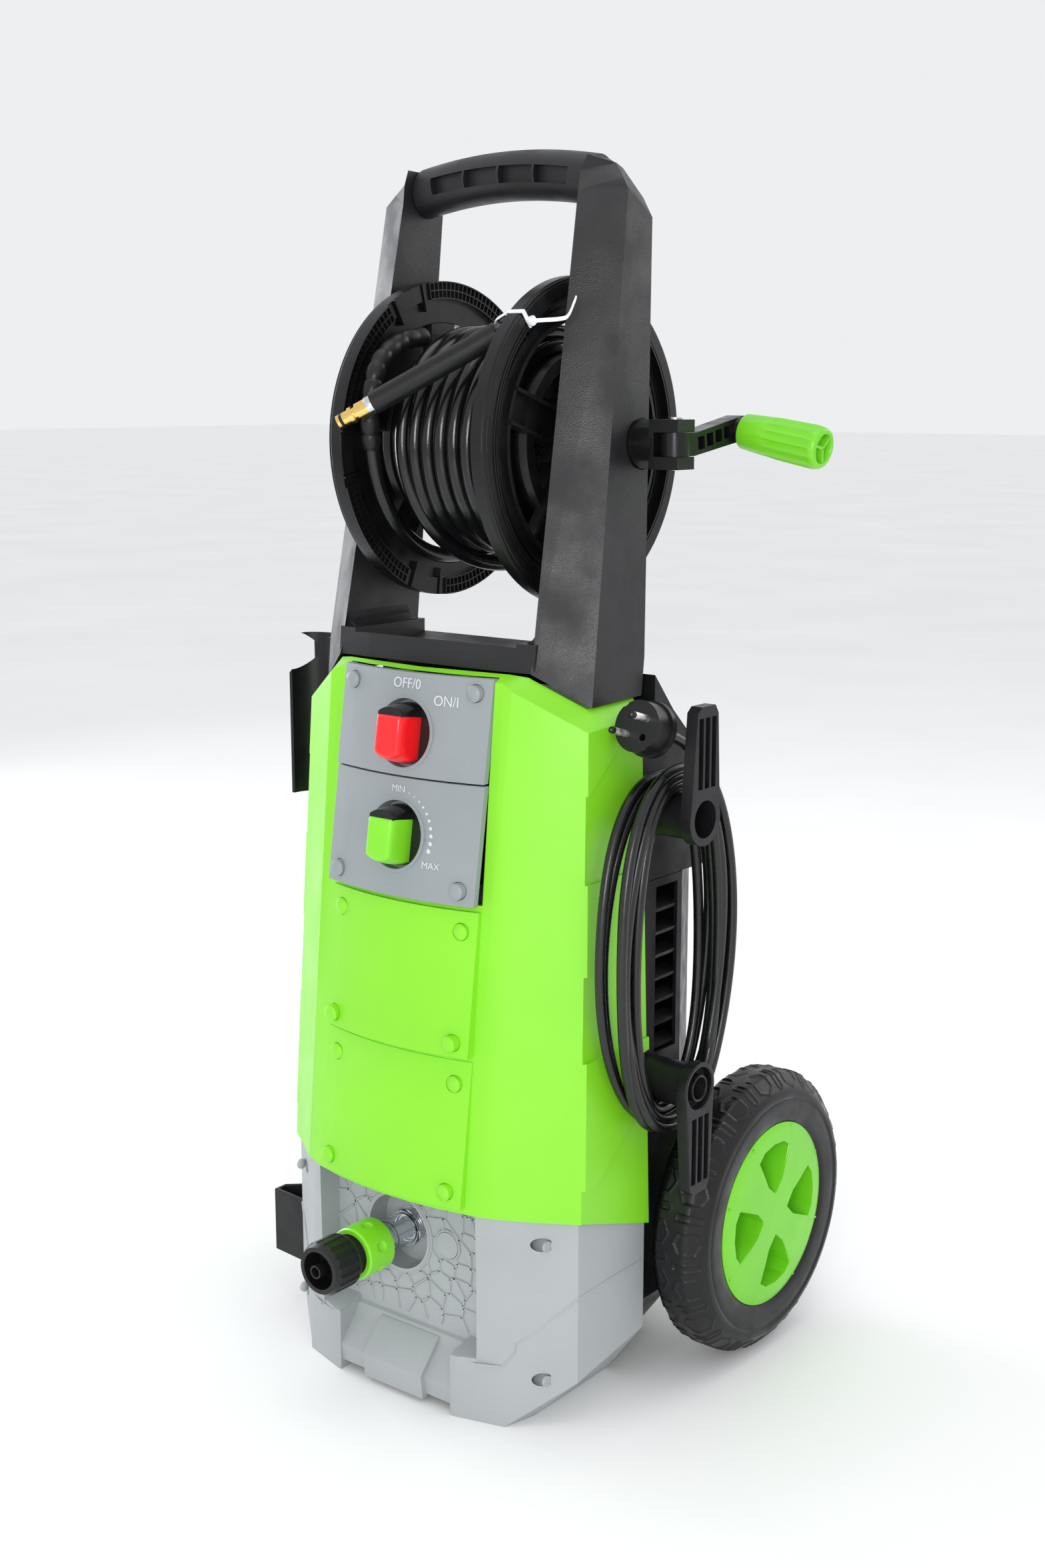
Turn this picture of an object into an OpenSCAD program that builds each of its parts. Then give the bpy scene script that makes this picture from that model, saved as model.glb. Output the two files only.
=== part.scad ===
// Upright electric pressure washer with a hose reel, two wheels and a cord wrap.
// X is to the right of the control side, Y to the rear, Z up. The floor is z = 0 and
// the reel turns about the X axis line at y = 0, z = reel_z.

/* [Body] */
// Height of the handle's top above the floor
total_h = 902; // [890:1:920]
// Half width of the body at the outer corners near the floor
base_half_w = 138; // [134:1:140]
// Wall thickness of the moulded shells
wall = 3; // [2.5:0.1:3.5]

/* [Reel] */
// Height of the reel's axis
reel_z = 701; // [698:1:704]
// Outer radius of the two reel flanges
flange_r = 116; // [110:1:117]
// Outer diameter of the high-pressure hose
hose_d = 11.5; // [10:0.5:12]

/* [Wheels] */
// Outer radius of the tyres
tyre_r = 111; // [108:1:112]
// Height of the wheel axle is the tyre radius, and this is its distance behind the reel axis
axle_y = 98; // [97:1:100]
// Radius of the steel axle
axle_r = 6; // [5:0.5:7]

/* [Controls] */
// Radius of the two rotary knobs
knob_r = 22; // [20:0.5:23]

/* [Cord] */
// Diameter of the mains lead
cord_d = 7.5; // [6.5:0.5:8]

/* [Hidden] */
$fn = 48;
GREEN = [0.60, 0.90, 0.25];
GREY = [0.70, 0.72, 0.73];
PANEL = [0.59, 0.62, 0.63];
BLACK = [0.13, 0.13, 0.14];
STEEL = [0.75, 0.75, 0.77];
fit = 0.05;          // radial clearance of a running fit
gap = 0.3;           // clearance between parts that only sit side by side
body_k = base_half_w / 138;

// ---- shared shape helpers ----
// A closed skin through rings of equal length, each ring counter-clockwise seen from above.
module skin(rings) {
  n = len(rings[0]);
  m = len(rings);
  polyhedron(
    points = [for (r = rings) each r],
    faces = concat(
      [for (i = [1:n - 2]) [0, i, i + 1]],
      [for (k = [0:m - 2]) for (i = [0:n - 1]) [k * n + i, (k + 1) * n + i, (k + 1) * n + (i + 1) % n]],
      [for (k = [0:m - 2]) for (i = [0:n - 1]) [k * n + i, (k + 1) * n + (i + 1) % n, k * n + (i + 1) % n]],
      [for (i = [1:n - 2]) [(m - 1) * n, (m - 1) * n + i + 1, (m - 1) * n + i]]));
}
// A ring symmetric about x = 0 from its right half, listed front to rear.
function whole(half) = concat(half, [for (i = [len(half) - 1:-1:0]) if (half[i][0] > 0.01) [-half[i][0], half[i][1], half[i][2]]]);
function mix(a, b, t) = a + (b - a) * t;
// A tube of radius r swept along hand-placed points, with flat ends.
function unit(v) = v / norm(v);
function dir_at(p, i) = unit(p[min(i + 1, len(p) - 1)] - p[max(i - 1, 0)]);
function carry(p, i) = i == 0 ? unit(cross(dir_at(p, 0), abs(dir_at(p, 0)[2]) < 0.9 ? [0, 0, 1] : [1, 0, 0]))
  : let (d = dir_at(p, i), u = carry(p, i - 1)) unit(u - (u * d) * d);
module swept_tube(p, r, sides = 8) {
  rings = [for (i = [0:len(p) - 1]) let (d = dir_at(p, i), u = carry(p, i), v = cross(d, u))
    [for (a = [0:360 / sides:359]) p[i] + r * (cos(a) * u + sin(a) * v)]];
  skin(rings);
}
// Smooth stretch between hand-placed route points.
function curve_at(a, b, c, d, t) = 0.5 * ((2 * b) + (c - a) * t + (2 * a - 5 * b + 4 * c - d) * t * t
  + (3 * b - a - 3 * c + d) * t * t * t);
function smooth(p, steps) = [for (i = [0:len(p) - 2]) for (s = [0:steps - 1])
  curve_at(p[max(i - 1, 0)], p[i], p[i + 1], p[min(i + 2, len(p) - 1)], s / steps),
  p[len(p) - 1]];
module along_x(x0, x1, r) { translate([x0, 0, 0]) rotate([0, 90, 0]) cylinder(h = x1 - x0, r = r); }
module mirrored() { children(); mirror([1, 0, 0]) children(); }

// ---- body outline ----
// The cover's lower edge: nearly level at the front, falling towards the rear past the corner.
seam_parts = [[-131, 160, -0.08], [-94, 157.2, -0.33]];        // y, z and slope of each part
function front_y(z) = mix(-112, -149.5, (540 - z) / 390);      // centre of the bowed front
function bow(x) = x * x / 500;                                 // bow of the front in plan
function ridge(z) = [mix(85, 93, (535 - z) / 385), mix(-103.5, -131, (535 - z) / 385)];
function corner(z) = [body_k * mix(133, 144, (508 - z) / 358), mix(-78, -94, (508 - z) / 358)];
cover_back = -12;
// Right half of the cover at height z, moved in by w.
function cover_half(z, w, back) = [
  for (x = [0, 25, 50, 75]) [max(x - w * 0.2, 0), front_y(z) + bow(x) + w, z],
  [ridge(z)[0] - w * 0.5, ridge(z)[1] + w, z],
  [corner(z)[0] - w, corner(z)[1] + w * 0.6, z],
  [corner(z)[0] - w, back, z]];
// The cover's upper edge and the top of the sloping shoulder above it.
function edge_half(w, back) = let (e = [540, 540, 540, 540, 535, 508, 511], h = cover_half(520, w, back))
  [for (i = [0:6]) [h[i][0] - (i > 4 ? 1 : 0), h[i][1] + (i < 5 ? 1.5 : 0), e[i] - w]];
function shoulder_half(w, back) = [
  for (x = [0, 25, 50, 75]) [max(x - w * 0.2, 0), -100 + bow(x) * 0.7 + w, 545 - w],
  [88 - w * 0.5, -88 + w, 543.5 - w],
  [122 - w, -66 + w * 0.6, 522 - w],
  [122 - w, back, 524 - w]];
module cover_solid(w, back) {
  skin([whole(cover_half(60, w, back)), whole(cover_half(300, w, back)), whole(edge_half(w, back)),
    whole(shoulder_half(w, back))]);
}
// Everything above or below the bent seam, moved by dz.
module seam_halves(s, side, dz) {
  translate([0, s[0], s[1] + dz]) rotate([atan(s[2]), 0, 0])
    translate([-200, -200, side > 0 ? 0 : -500]) cube([400, 500, 500]);
}
module above_seam(dz) { for (s = seam_parts) seam_halves(s, 1, dz); }
module below_seam(dz) {
  intersection() {
    seam_halves(seam_parts[0], -1, dz);
    seam_halves(seam_parts[1], -1, dz);
  }
}
// A bowed plate on the front: half width, then height and centre depth at its bottom and top.
module bowed_plate(hw, z0, y0, z1, y1, t0, t1) {
  n = 10;
  m = 2 * n + 2;
  function edge(y, z) = [for (i = [0:n]) let (x = mix(-hw, hw, i / n)) [x, y + bow(x), z]];
  function back_edge(y, z) = [for (i = [n:-1:0]) let (x = mix(-hw, hw, i / n)) [x, y + bow(x), z]];
  polyhedron(
    points = concat(edge(y0, z0), back_edge(y0 + t0, z0), edge(y1, z1), back_edge(y1 + t1, z1)),
    faces = concat(
      [for (i = [0:n - 1]) [i, i + 1, m - 2 - i, m - 1 - i]],
      [for (i = [0:n - 1]) [m + i, 2 * m - 1 - i, 2 * m - 2 - i, m + i + 1]],
      [for (i = [0:m - 1]) [i, m + i, m + (i + 1) % m]],
      [for (i = [0:m - 1]) [i, m + (i + 1) % m, (i + 1) % m]]));
}
panel_hw = 69.5;
window_z = [384, 543];
// Shallow steps on the cover's side that climb to the rear.
side_lean = atan(11 / 358);
module side_steps() {
  for (z = [402, 275, 120]) mirrored()
    translate([corner(z)[0] - 2.4, 0, z]) rotate([0, -side_lean, 0])
      rotate([90, 0, 90]) linear_extrude(12)
        polygon([[-110, 0], [cover_back + 5, 0], [cover_back + 5, 118], [-78, 62], [-110, 62]]);
}
module plug_holes(list, r, depth) {
  for (p = list) mirrored() translate([57, p[0] - 3, p[1]]) rotate([-90, 0, 0]) cylinder(h = depth, r = r);
}
// y and z of the plug centres: two rows on the grey panels, four on the green apron.
grey_plugs = [[-109, 532], [-129.5, 395]];
green_plugs = [[-125, 365], [-139, 286], [-133.5, 255], [-146, 177]];
plug_cap_r = 6;

// ---- shells ----
module front_cover() {
  color(GREEN) {
    difference() {
      cover_solid(0, cover_back);
      cover_solid(wall, cover_back + 5);
      below_seam(0.4);
      translate([-panel_hw - gap, -160, window_z[0]])
        cube([2 * (panel_hw + gap), 80, window_z[1] - window_z[0]]);
      side_steps();
      plug_holes(green_plugs, plug_cap_r + gap, 20);
      // clearance round the cord wrap's seats
      for (z = hook_zs) translate([0, hook_y, z]) along_x(120, 160, 19.5);
      // the high-pressure link goes up into the frame here
      translate([link_route[5][0], link_route[5][1], 500]) cylinder(h = 60, r = 8);
    }
    difference() {
      union() {
        bowed_plate(panel_hw, 276, -144, 379.5, -130.5, 8, 4);
        bowed_plate(panel_hw, 166, -153, 272, -138.5, 7, 2.5);
      }
      plug_holes(green_plugs, plug_cap_r + gap, 12);
    }
  }
}
// The axis of a knob that stands square to the leaning panels.
module at_knob(z, y) { translate([0, y, z]) rotate([90 - panel_tilt, 0, 0]) children(); }
power_z = 500;
power_y = -120;
pressure_z = 428;
pressure_y = -130.5;
panel_tilt = 9;
well_r = knob_r + 2.5;
module panel_with_well(z0, y0, z1, y1, kz, ky, plug) {
  difference() {
    union() {
      bowed_plate(panel_hw, z0, y0, z1, y1, 5, 5);
      at_knob(kz, ky) translate([0, 0, -12]) cylinder(h = 12, r = well_r + 2.5);
    }
    at_knob(kz, ky) translate([0, 0, -9.5]) cylinder(h = 30, r = well_r);
    at_knob(kz, ky) translate([0, 0, -30]) cylinder(h = 60, r = 4 + fit);
    plug_holes([plug], plug_cap_r + gap, 20);
  }
}
module switch_panel() {
  color(PANEL) panel_with_well(470, -124.5, 542.5, -113, power_z, power_y, grey_plugs[0]);
}
module regulator_panel() {
  color(PANEL) panel_with_well(384.5, -136.5, 468.5, -123.5, pressure_z, pressure_y, grey_plugs[1]);
}
module cap_plugs(list) {
  for (p = list) mirrored() translate([57, p[0] - 1, p[1]]) rotate([-90, 0, 0]) {
    cylinder(h = 9, r = plug_cap_r);
    intersection() {
      translate([0, 0, 7]) sphere(r = 10);
      translate([0, 0, -4]) cylinder(h = 5, r = plug_cap_r);
    }
  }
}
module panel_plugs_grey() { color(PANEL) cap_plugs(grey_plugs); }
module panel_plugs_green() { color(GREEN) cap_plugs(green_plugs); }

// ---- base ----
recess_y = -115;         // face of the recessed front
inlet_x = -14;
inlet_z = 117;
cup_r = 29;
recess_x = 76;           // half width of the recessed front
function base_half(z, w, back) = [
  [0, -137 + w, z], [74 - w * 0.2, -137 + w, z],
  [body_k * 91.5 - w * 0.5, -128.5 + w, z], [base_half_w - w, -94 + w * 0.6, z], [base_half_w - w, back, z]];
function foot_half(w, back) = [
  for (x = [0, 58]) [x, -139 + w, w], [body_k * 97 - w, -128 + w, w], [104 - w, -102 + w, w],
  [104 - w, back, w]];
function flare_half(w, back) = [
  for (x = [0, 58]) [max(x - w * 0.2, 0), -139 + w, 8 + w], [body_k * 97 - w * 0.5, -128 + w, 8 + w],
  [base_half_w - w, -94 + w * 0.6, 34 + w], [base_half_w - w, back, 46 + w]];
module base_block(w, back) {
  skin([whole(foot_half(w, back)), whole(flare_half(w, back)), whole(base_half(200, w, back))]);
}
// A bar along X with the given outline in Y and Z.
module bar_x(x0, x1, outline) {
  translate([x0, 0, 0]) rotate([90, 0, 90]) linear_extrude(x1 - x0) polygon(outline);
}
screw_y = -110;
screw_z = [141, 37];
screw_seat = 123;        // bottom of each screw bore, measured from the middle
module at_screws() { for (z = screw_z) mirrored() translate([0, screw_y, z]) children(); }
module base_housing() {
  color(GREY) difference() {
    union() {
      difference() {
        base_block(0, cover_back);
        base_block(wall, cover_back + 5);
        translate([-recess_x, -150, 46]) cube([2 * recess_x, 150 + recess_y + 12, 160]);
        translate([-55, -150, -1]) cube([110, 150 + recess_y + 2, 60]);
      }
      // recessed front wall
      translate([-recess_x - wall, recess_y, 1]) cube([2 * (recess_x + wall), wall, 179]);
      // rail across the front, with a raised block in its middle
      bar_x(-57, 57, [[-136, 7], [-138, 21], [-122.5, 39.5], [-118, 48], [-114, 50], [-112.5, 50],
        [-112.5, 43], [-119.5, 36], [-133, 19], [-132, 7]]);
      bar_x(-29, 29, [[-140, 4], [-142, 23], [-124, 43], [-120, 46], [-116, 44], [-119, 37], [-134, 19], [-134, 4]]);
      // inner sides and sloping tops of the two feet
      mirrored() bar_x(55, 58, [[-138.7, 0.5], [-138.7, 47], [-112.5, 53], [-112.5, 0.5]]);
      mirrored() intersection() {
        base_block(0, cover_back);
        bar_x(55.5, recess_x + 2, [[-139.5, 45], [-112.5, 51.5], [-112.5, 54.5], [-139.5, 48]]);
      }
      // cheeks beside the recess
      mirrored() intersection() {
        base_block(0, cover_back);
        translate([recess_x, -140, 45.5]) cube([wall, 140 + recess_y + 2.5, 134]);
      }
      // inlet cup and its bottom
      translate([inlet_x, recess_y - 2, inlet_z]) rotate([-90, 0, 0]) cylinder(h = 22, r = cup_r + 2.5);
      // blank disc beside the inlet
      translate([34, recess_y - 1.5, inlet_z + 2]) rotate([-90, 0, 0]) cylinder(h = 3, r = 10);
      // bosses round the screw bores
      intersection() {
        base_block(0, cover_back);
        at_screws() along_x(98, screw_seat + 6, 8);
      }
      // skid under the middle of the body
      translate([-90, -30, 0]) cube([180, 50, 4]);
    }
    translate([inlet_x, recess_y - 3, inlet_z]) rotate([-90, 0, 0]) cylinder(h = 20, r = cup_r);
    translate([inlet_x, recess_y - 3, inlet_z]) rotate([-90, 0, 0]) cylinder(h = 40, r = 11 + fit);
    above_seam(0);
    at_screws() along_x(80, screw_seat, 5.2);
  }
}
module base_screws() {
  color(GREY) at_screws() {
    along_x(screw_seat - 2, screw_seat, 4);
    intersection() {
      translate([screw_seat + 1, 0, 0]) sphere(r = 5);
      along_x(screw_seat - 6, screw_seat - 2, 4);
    }
  }
}

// ---- rear ----
rear_x = 131;
function rear_half(z, w) = [
  [0, cover_back + gap + w, z], [rear_x - w, cover_back + gap + w, z], [rear_x - w, 42 - w * 0.4, z],
  [104 - w * 0.7, 92 - w * 0.7, z], [50, 100 - w, z], [0, 100 - w, z]];
function rear_foot(z, w) = [
  [0, cover_back + gap + w, z], [100 - w, cover_back + gap + w, z], [100 - w, 42 - w * 0.4, z],
  [90 - w * 0.7, 80 - w * 0.7, z], [50, 84 - w, z], [0, 84 - w, z]];
louvre_y = [8, 36];
louvre_z = [255, 386];
module rear_housing() {
  color(BLACK) difference() {
    union() {
      difference() {
        skin([whole(rear_foot(20, 0)), whole(rear_half(62, 0)), whole(rear_half(388, 0))]);
        skin([whole(rear_foot(20 + wall, wall)), whole(rear_half(62 + wall, wall)), whole(rear_half(388 - wall, wall))]);
        mirrored() translate([100, louvre_y[0], louvre_z[0]])
          cube([40, louvre_y[1] - louvre_y[0], louvre_z[1] - louvre_z[0] - 4]);
        // open mouth towards the base and cover
        translate([-110, cover_back - 5, 40]) cube([220, 16, 335]);
      }
      for (i = [0:6]) mirrored() translate([rear_x - 12, louvre_y[0] - 1, louvre_z[0] + 6 + 17.5 * i])
        rotate([0, 20, 0]) cube([11, louvre_y[1] - louvre_y[0] + 2, 3]);
      // axle carrier
      mirrored() translate([60, 60, tyre_r - 20]) cube([rear_x - 60, axle_y + 20 - 60, 40]);
      // cord wrap seats
      translate([rear_x - 2, hook_y, hook_zs[0]]) rotate([0, 90, 0]) cylinder(h = 8, r = 19);
    }
    translate([0, axle_y, tyre_r]) along_x(-150, 150, axle_r + fit);
    // duct down to the pump
    translate([-106, 0, 375]) cube([212, 85, 30]);
    // seat for the cord gland
    translate([90, gland_y, gland_z]) rotate([0, 90, 0]) cylinder(h = 60, r = 6 + fit);
  }
}
hook_y = -13;
hook_zs = [246, 444];
gland_y = 20;
gland_z = 232;
function upper_profile(w) = [
  [cover_back + gap + w, 388.5 + w], [88, 388.5 + w], [100 - w, 397], [96.5 - w, 464 - w], [68 - w, 473 - w],
  [27 - w * 0.5, 511 - w], [3 + w, 539 - w], [3 + w, 519 - w], [cover_back + gap + w, 519 - w]];
module rear_upper_housing() {
  color(BLACK) difference() {
    union() {
      translate([-rear_x, 0, 0]) rotate([90, 0, 90]) linear_extrude(2 * rear_x) polygon(upper_profile(0));
      translate([rear_x - 2, hook_y, hook_zs[1]]) rotate([0, 90, 0]) cylinder(h = 8, r = 19);
    }
    translate([-rear_x + wall, 0, 0]) rotate([90, 0, 90]) linear_extrude(2 * (rear_x - wall)) polygon(upper_profile(wall));
    translate([-106, 0, 380]) cube([212, 80, 20]);
    // rounded rear uprights
    mirrored() translate([rear_x, 110, 380]) rotate([0, 0, 45]) cube([30, 30, 400], center = true);
  }
}

// ---- handle frame ----
function up_in(z) = [mix(90, 80, (z - 540) / 330), mix(-89, -24, (z - 540) / 330)];
function up_out(z) = [mix(126, 111, (z - 540) / 330), mix(-64, -8, (z - 540) / 330)];
function up_back(z) = mix(-5, 22, (z - 523) / 356);
function upright(z, w) = [
  [up_in(z)[0] + w, up_in(z)[1] + w * 1.3, z], [up_out(z)[0] - w, up_out(z)[1] + w, z],
  [up_out(z)[0] - w, up_back(z) - w, z], [up_in(z)[0] + w, up_back(z) - w, z]];
module upright_solid() {
  u = upright(872, 0);
  b = upright(855, 0)[2];
  skin([
    [[90, -88.5, 546], [125.5, -65, 523], [125.5, -6, 525], [90, -6, 546]],
    upright(552, 0), [u[0], u[1], b, u[3]],
    [u[0] + [0.4, 2, 13], u[1] + [-6.5, 3, 8], b + [-5, -4, 13], u[3] + [0.2, -1, 12]],
    [u[0] + [2, 8, 24], u[1] + [-17, 9, 19], b + [-17, -12, 33], u[3] + [2, -11, 23]]]);
}
module upright_core() {
  skin([upright(500, wall), upright(845, wall)]);
}
module handle_frame() {
  color(BLACK) difference() {
    union() {
      mirrored() difference() {
        upright_solid();
        upright_core();
      }
      // cross member, hollowed along the reel
      difference() {
        skin([
          whole([[0, -90, 546], [60, -90, 546], [92, -87, 546], [92, -9, 546], [0, -9, 546]]),
          whole([[0, -88, 566], [60, -88, 566], [92, -85, 566], [92, -9, 566], [0, -9, 566]])]);
        translate([0, -36, reel_z]) along_x(-76, 76, 147);
      }
      // fillets in the lower corners
      mirrored() translate([0, -14, 0]) rotate([90, 0, 0]) linear_extrude(66)
        polygon([[91, 563], [91, 577], [88.6, 576], [87.4, 571.5], [84.6, 568.2], [80, 566.2], [78, 563]]);
      // bearing bosses for the reel axle
      translate([0, 0, reel_z]) mirrored() along_x(81, 116.5, 19);
    }
    translate([0, 0, reel_z]) along_x(-130, 130, 8 + fit);
    // cheek relief for the flanges
    translate([0, 0, reel_z]) along_x(-80, 80, 19);
    // seat for the crank hub's collar
    translate([0, 0, reel_z]) along_x(117.1, 130, 18);
  }
}
grip_bend = 420;
grip_z = 888;
module grip_arc(angle, y) {
  translate([0, y, grip_z - grip_bend]) rotate([90, 0, 0]) rotate([0, 0, 90 - angle / 2])
    rotate_extrude(angle = angle, $fn = 96) children();
}
module handle_grip() {
  color(BLACK) difference() {
    intersection() {
      grip_arc(24, 4) translate([grip_bend, 0]) circle(r = 17.5);
      translate([-79.4, -40, 800]) cube([158.8, 80, 120]);
    }
    difference() {
      grip_arc(17, -7) translate([grip_bend - 6, 0]) square([12, 14]);
      for (x = [-32, 0, 32]) translate([x - 1, -14, 860]) cube([2, 10, 50]);
    }
  }
}

// ---- side holders ----
module gun_holder() {
  color(BLACK) difference() {
    translate([-160, -48, 422]) union() {
      cylinder(h = 128, r = 23);
      translate([0, 0, 30]) cube([24, 20, 60]);
    }
    translate([-160, -48, 420]) cylinder(h = 140, r = 20);
    translate([-200, -100, 420]) cube([80, 50, 140]);
    translate([-190, -60, 540]) rotate([0, -45, 0]) cube([30, 60, 40], center = true);
    translate([-135.5, -100, 400]) cube([60, 200, 200]);
  }
}
lance_x = base_half_w + gap;
module lance_holder() {
  color(BLACK) difference() {
    translate([0, 0, 42]) linear_extrude(53) difference() {
      polygon([[-lance_x, -86], [-182, -82], [-182, -70], [-lance_x, -30]]);
      polygon([[-lance_x - 3.2, -82.5], [-179, -79], [-179, -71.5], [-lance_x - 3.2, -35.5]]);
    }
    translate([-182, -100, 42]) rotate([0, 32, 0]) translate([-20, 0, -60]) cube([90, 90, 60]);
  }
}

// ---- cord wrap ----
hook_x = [137.2, 177];
module hook_plate(up) {
  rotate([0, 90, 0]) cylinder(h = 9, r = 19);
  translate([0, -13.5, 0]) mirror([0, 0, up ? 0 : 1]) difference() {
    translate([0, 0, 0]) rotate([90, 0, 90]) linear_extrude(9)
      polygon([[-5, 0], [32, 0], [28, 74], [24, 80], [7, 80], [2, 76]]);
    for (i = [0:2]) translate([3, 4 + 8 * i, 22]) cube([10, 5.5, 50]);
  }
}
module upper_cable_hook() {
  color(BLACK) difference() {
    translate([0, hook_y, hook_zs[1]]) {
      along_x(hook_x[0], hook_x[1], 16);
      translate([hook_x[1], 0, 0]) hook_plate(true);
    }
    translate([0, hook_y, hook_zs[1]]) along_x(hook_x[0] + 6, 200, 13.5);
  }
}
module lower_cable_hook() {
  color(BLACK) difference() {
    translate([0, hook_y, hook_zs[0]]) {
      along_x(hook_x[0] + gap, hook_x[1], 16);
      translate([hook_x[1], 0, 0]) hook_plate(false);
    }
    translate([0, hook_y, hook_zs[0]]) along_x(hook_x[0] - 1, 200, 3 + fit);
    translate([0, hook_y, hook_zs[0]]) along_x(hook_x[1] - 4, 200, 8);
    translate([0, hook_y, hook_zs[0]]) difference() {
      along_x(hook_x[1] + 2, 200, 15.5);
      along_x(hook_x[1], 200, 10);
    }
  }
}
module hook_screw() {
  color(STEEL) translate([0, hook_y, hook_zs[0]]) {
    along_x(hook_x[0] + 0.2, hook_x[1] - 3.8, 3);
    along_x(hook_x[1] - 3.8, hook_x[1] - 1, 5.5);
  }
}

// ---- reel ----
drum_r = 62;
flange_x = 60;           // inner face of each flange
coil_out = drum_r + 2 * hose_d + 3;
module at_reel() { translate([0, 0, reel_z]) children(); }
module lathe_x() { rotate([0, 90, 0]) rotate_extrude($fn = 96) children(); }
module reel_flange(spokes) {
  difference() {
    union() {
      translate([flange_x, 0, 0]) lathe_x() {
        polygon([[flange_r - 13, 0], [flange_r, 0], [flange_r, 9], [flange_r - 3, 12], [flange_r - 13, 12]]);
        translate([86, 2]) square([18, 4]);
        translate([86, 2]) square([3, 8]);
        translate([drum_r - 7, 0]) square([9, 7]);
      }
      for (i = [0:spokes - 1]) rotate([i * 360 / spokes, 0, 0]) translate([flange_x + 2.5, 0, 20]) {
        translate([0, -12, 0]) cube([3, 24, 67]);
        for (s = [-13, 10.5]) translate([0, s, 0]) cube([9, 2.5, 67]);
      }
      translate([flange_x, 0, 0]) along_x(0, 14, 26);
    }
    along_x(-150, 150, 14 + fit);
  }
}
module reel_flange_right() {
  color(BLACK) at_reel() difference() {
    reel_flange(5);
    // slot the cable tie passes through
    rotate([40, 0, 0]) translate([flange_x - 1, -2.6, flange_r - 20.5]) cube([9, 5.2, 7.4]);
  }
}
module reel_flange_left() { color(BLACK) at_reel() mirror([1, 0, 0]) reel_flange(5); }
module reel_drum() {
  color(BLACK) at_reel() difference() {
    along_x(-flange_x, flange_x, drum_r);
    along_x(-flange_x - 1, flange_x + 1, drum_r - 4);
  }
}
module reel_axle() {
  color(STEEL) at_reel() {
    along_x(-78, 78, 14);
    along_x(-122, 118.6, 8);
  }
}
module hose_coil() {
  color(BLACK) at_reel() translate([-56, 0, 0]) lathe_x() translate([drum_r, 0]) square([coil_out - drum_r, 110]);
}
// Route of the loose outer end of the hose, from the top of the coil across to its fitting.
sleeve_start = [50, -74, 776];
sleeve_end = [-30, -113, 729];
sleeve_dir = unit(sleeve_end - sleeve_start);
end_route = [[16, 94, 705], [26, 84, 752], [40, 42, 791], [50, -10, 797], [52, -46, 790], sleeve_start];
function from_sleeve(d) = sleeve_end + sleeve_dir * d;
module along(p, d) {
  translate(p) rotate([0, acos(d[2]), atan2(d[1], d[0])]) children();
}
module hose_end_run() { color(BLACK) swept_tube(smooth(end_route, 3), hose_d / 2, 8); }
module hose_sleeve() {
  color(BLACK) along(sleeve_start, sleeve_dir) cylinder(h = norm(sleeve_end - sleeve_start), r = 8);
}
module hose_ferrule() {
  color(STEEL) along(sleeve_end, sleeve_dir) difference() {
    cylinder(h = 5, r = 6.6);
    translate([0, 0, -1]) cylinder(h = 8, r = 4);
  }
}
module hose_fitting() {
  color([0.88, 0.67, 0.24]) along(sleeve_end, sleeve_dir) difference() {
    union() {
      cylinder(h = 9, r = 4);
      translate([0, 0, 5]) cylinder(h = 8, r = 6.2);
      translate([0, 0, 13]) cylinder(h = 3, r = 4.5);
      translate([0, 0, 16]) cylinder(h = 3, r = 6);
      translate([0, 0, 19]) cylinder(h = 5.5, r = 5);
      translate([0, 0, 24.5]) cylinder(h = 2.2, r = 3.6);
      translate([0, 0, 26.7]) cylinder(h = 2.3, r = 5);
    }
    translate([0, 0, 12]) cylinder(h = 20, r = 2);
  }
}
module fitting_o_ring() {
  color(BLACK) along(from_sleeve(25.6), sleeve_dir) rotate_extrude() translate([4.55, 0]) circle(r = 0.85);
}
guard_route = [[-50, -36, 776], [-49, -62, 772], [-46, -88, 758], [-44, -99, 738], [-45, -101, 716], [-49, -95, 697]];
module hose_kink_guard() {
  p = smooth(guard_route, 3);
  color(BLACK) for (i = [1:len(p) - 2]) translate(p[i]) sphere(r = 6.2, $fn = 24);
}
tie_at = [50.9, 104];       // where the hose lies against the flange's rim, in x and radius
module tie_loop(g) {
  hull() {
    translate([flange_x - g, flange_r - 13 - g]) square([12 + 2 * g, 13 + 2 * g]);
    translate(tie_at) circle(r = hose_d / 2 + g + 0.8);
  }
}
module cable_tie() {
  color([0.93, 0.94, 0.95]) at_reel() rotate([40, 0, 0]) {
    translate([0, 1.7, 0]) rotate([90, 0, 0]) linear_extrude(3.4) difference() {
      tie_loop(1.5);
      tie_loop(0.4);
    }
    translate([flange_x + 12.5, -2.5, flange_r - 11]) cube([4.5, 5, 5.5]);
    translate([flange_x + 14, 2, flange_r - 10]) rotate([-30, 0, 0]) cube([1.2, 26, 3]);
  }
}

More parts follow.
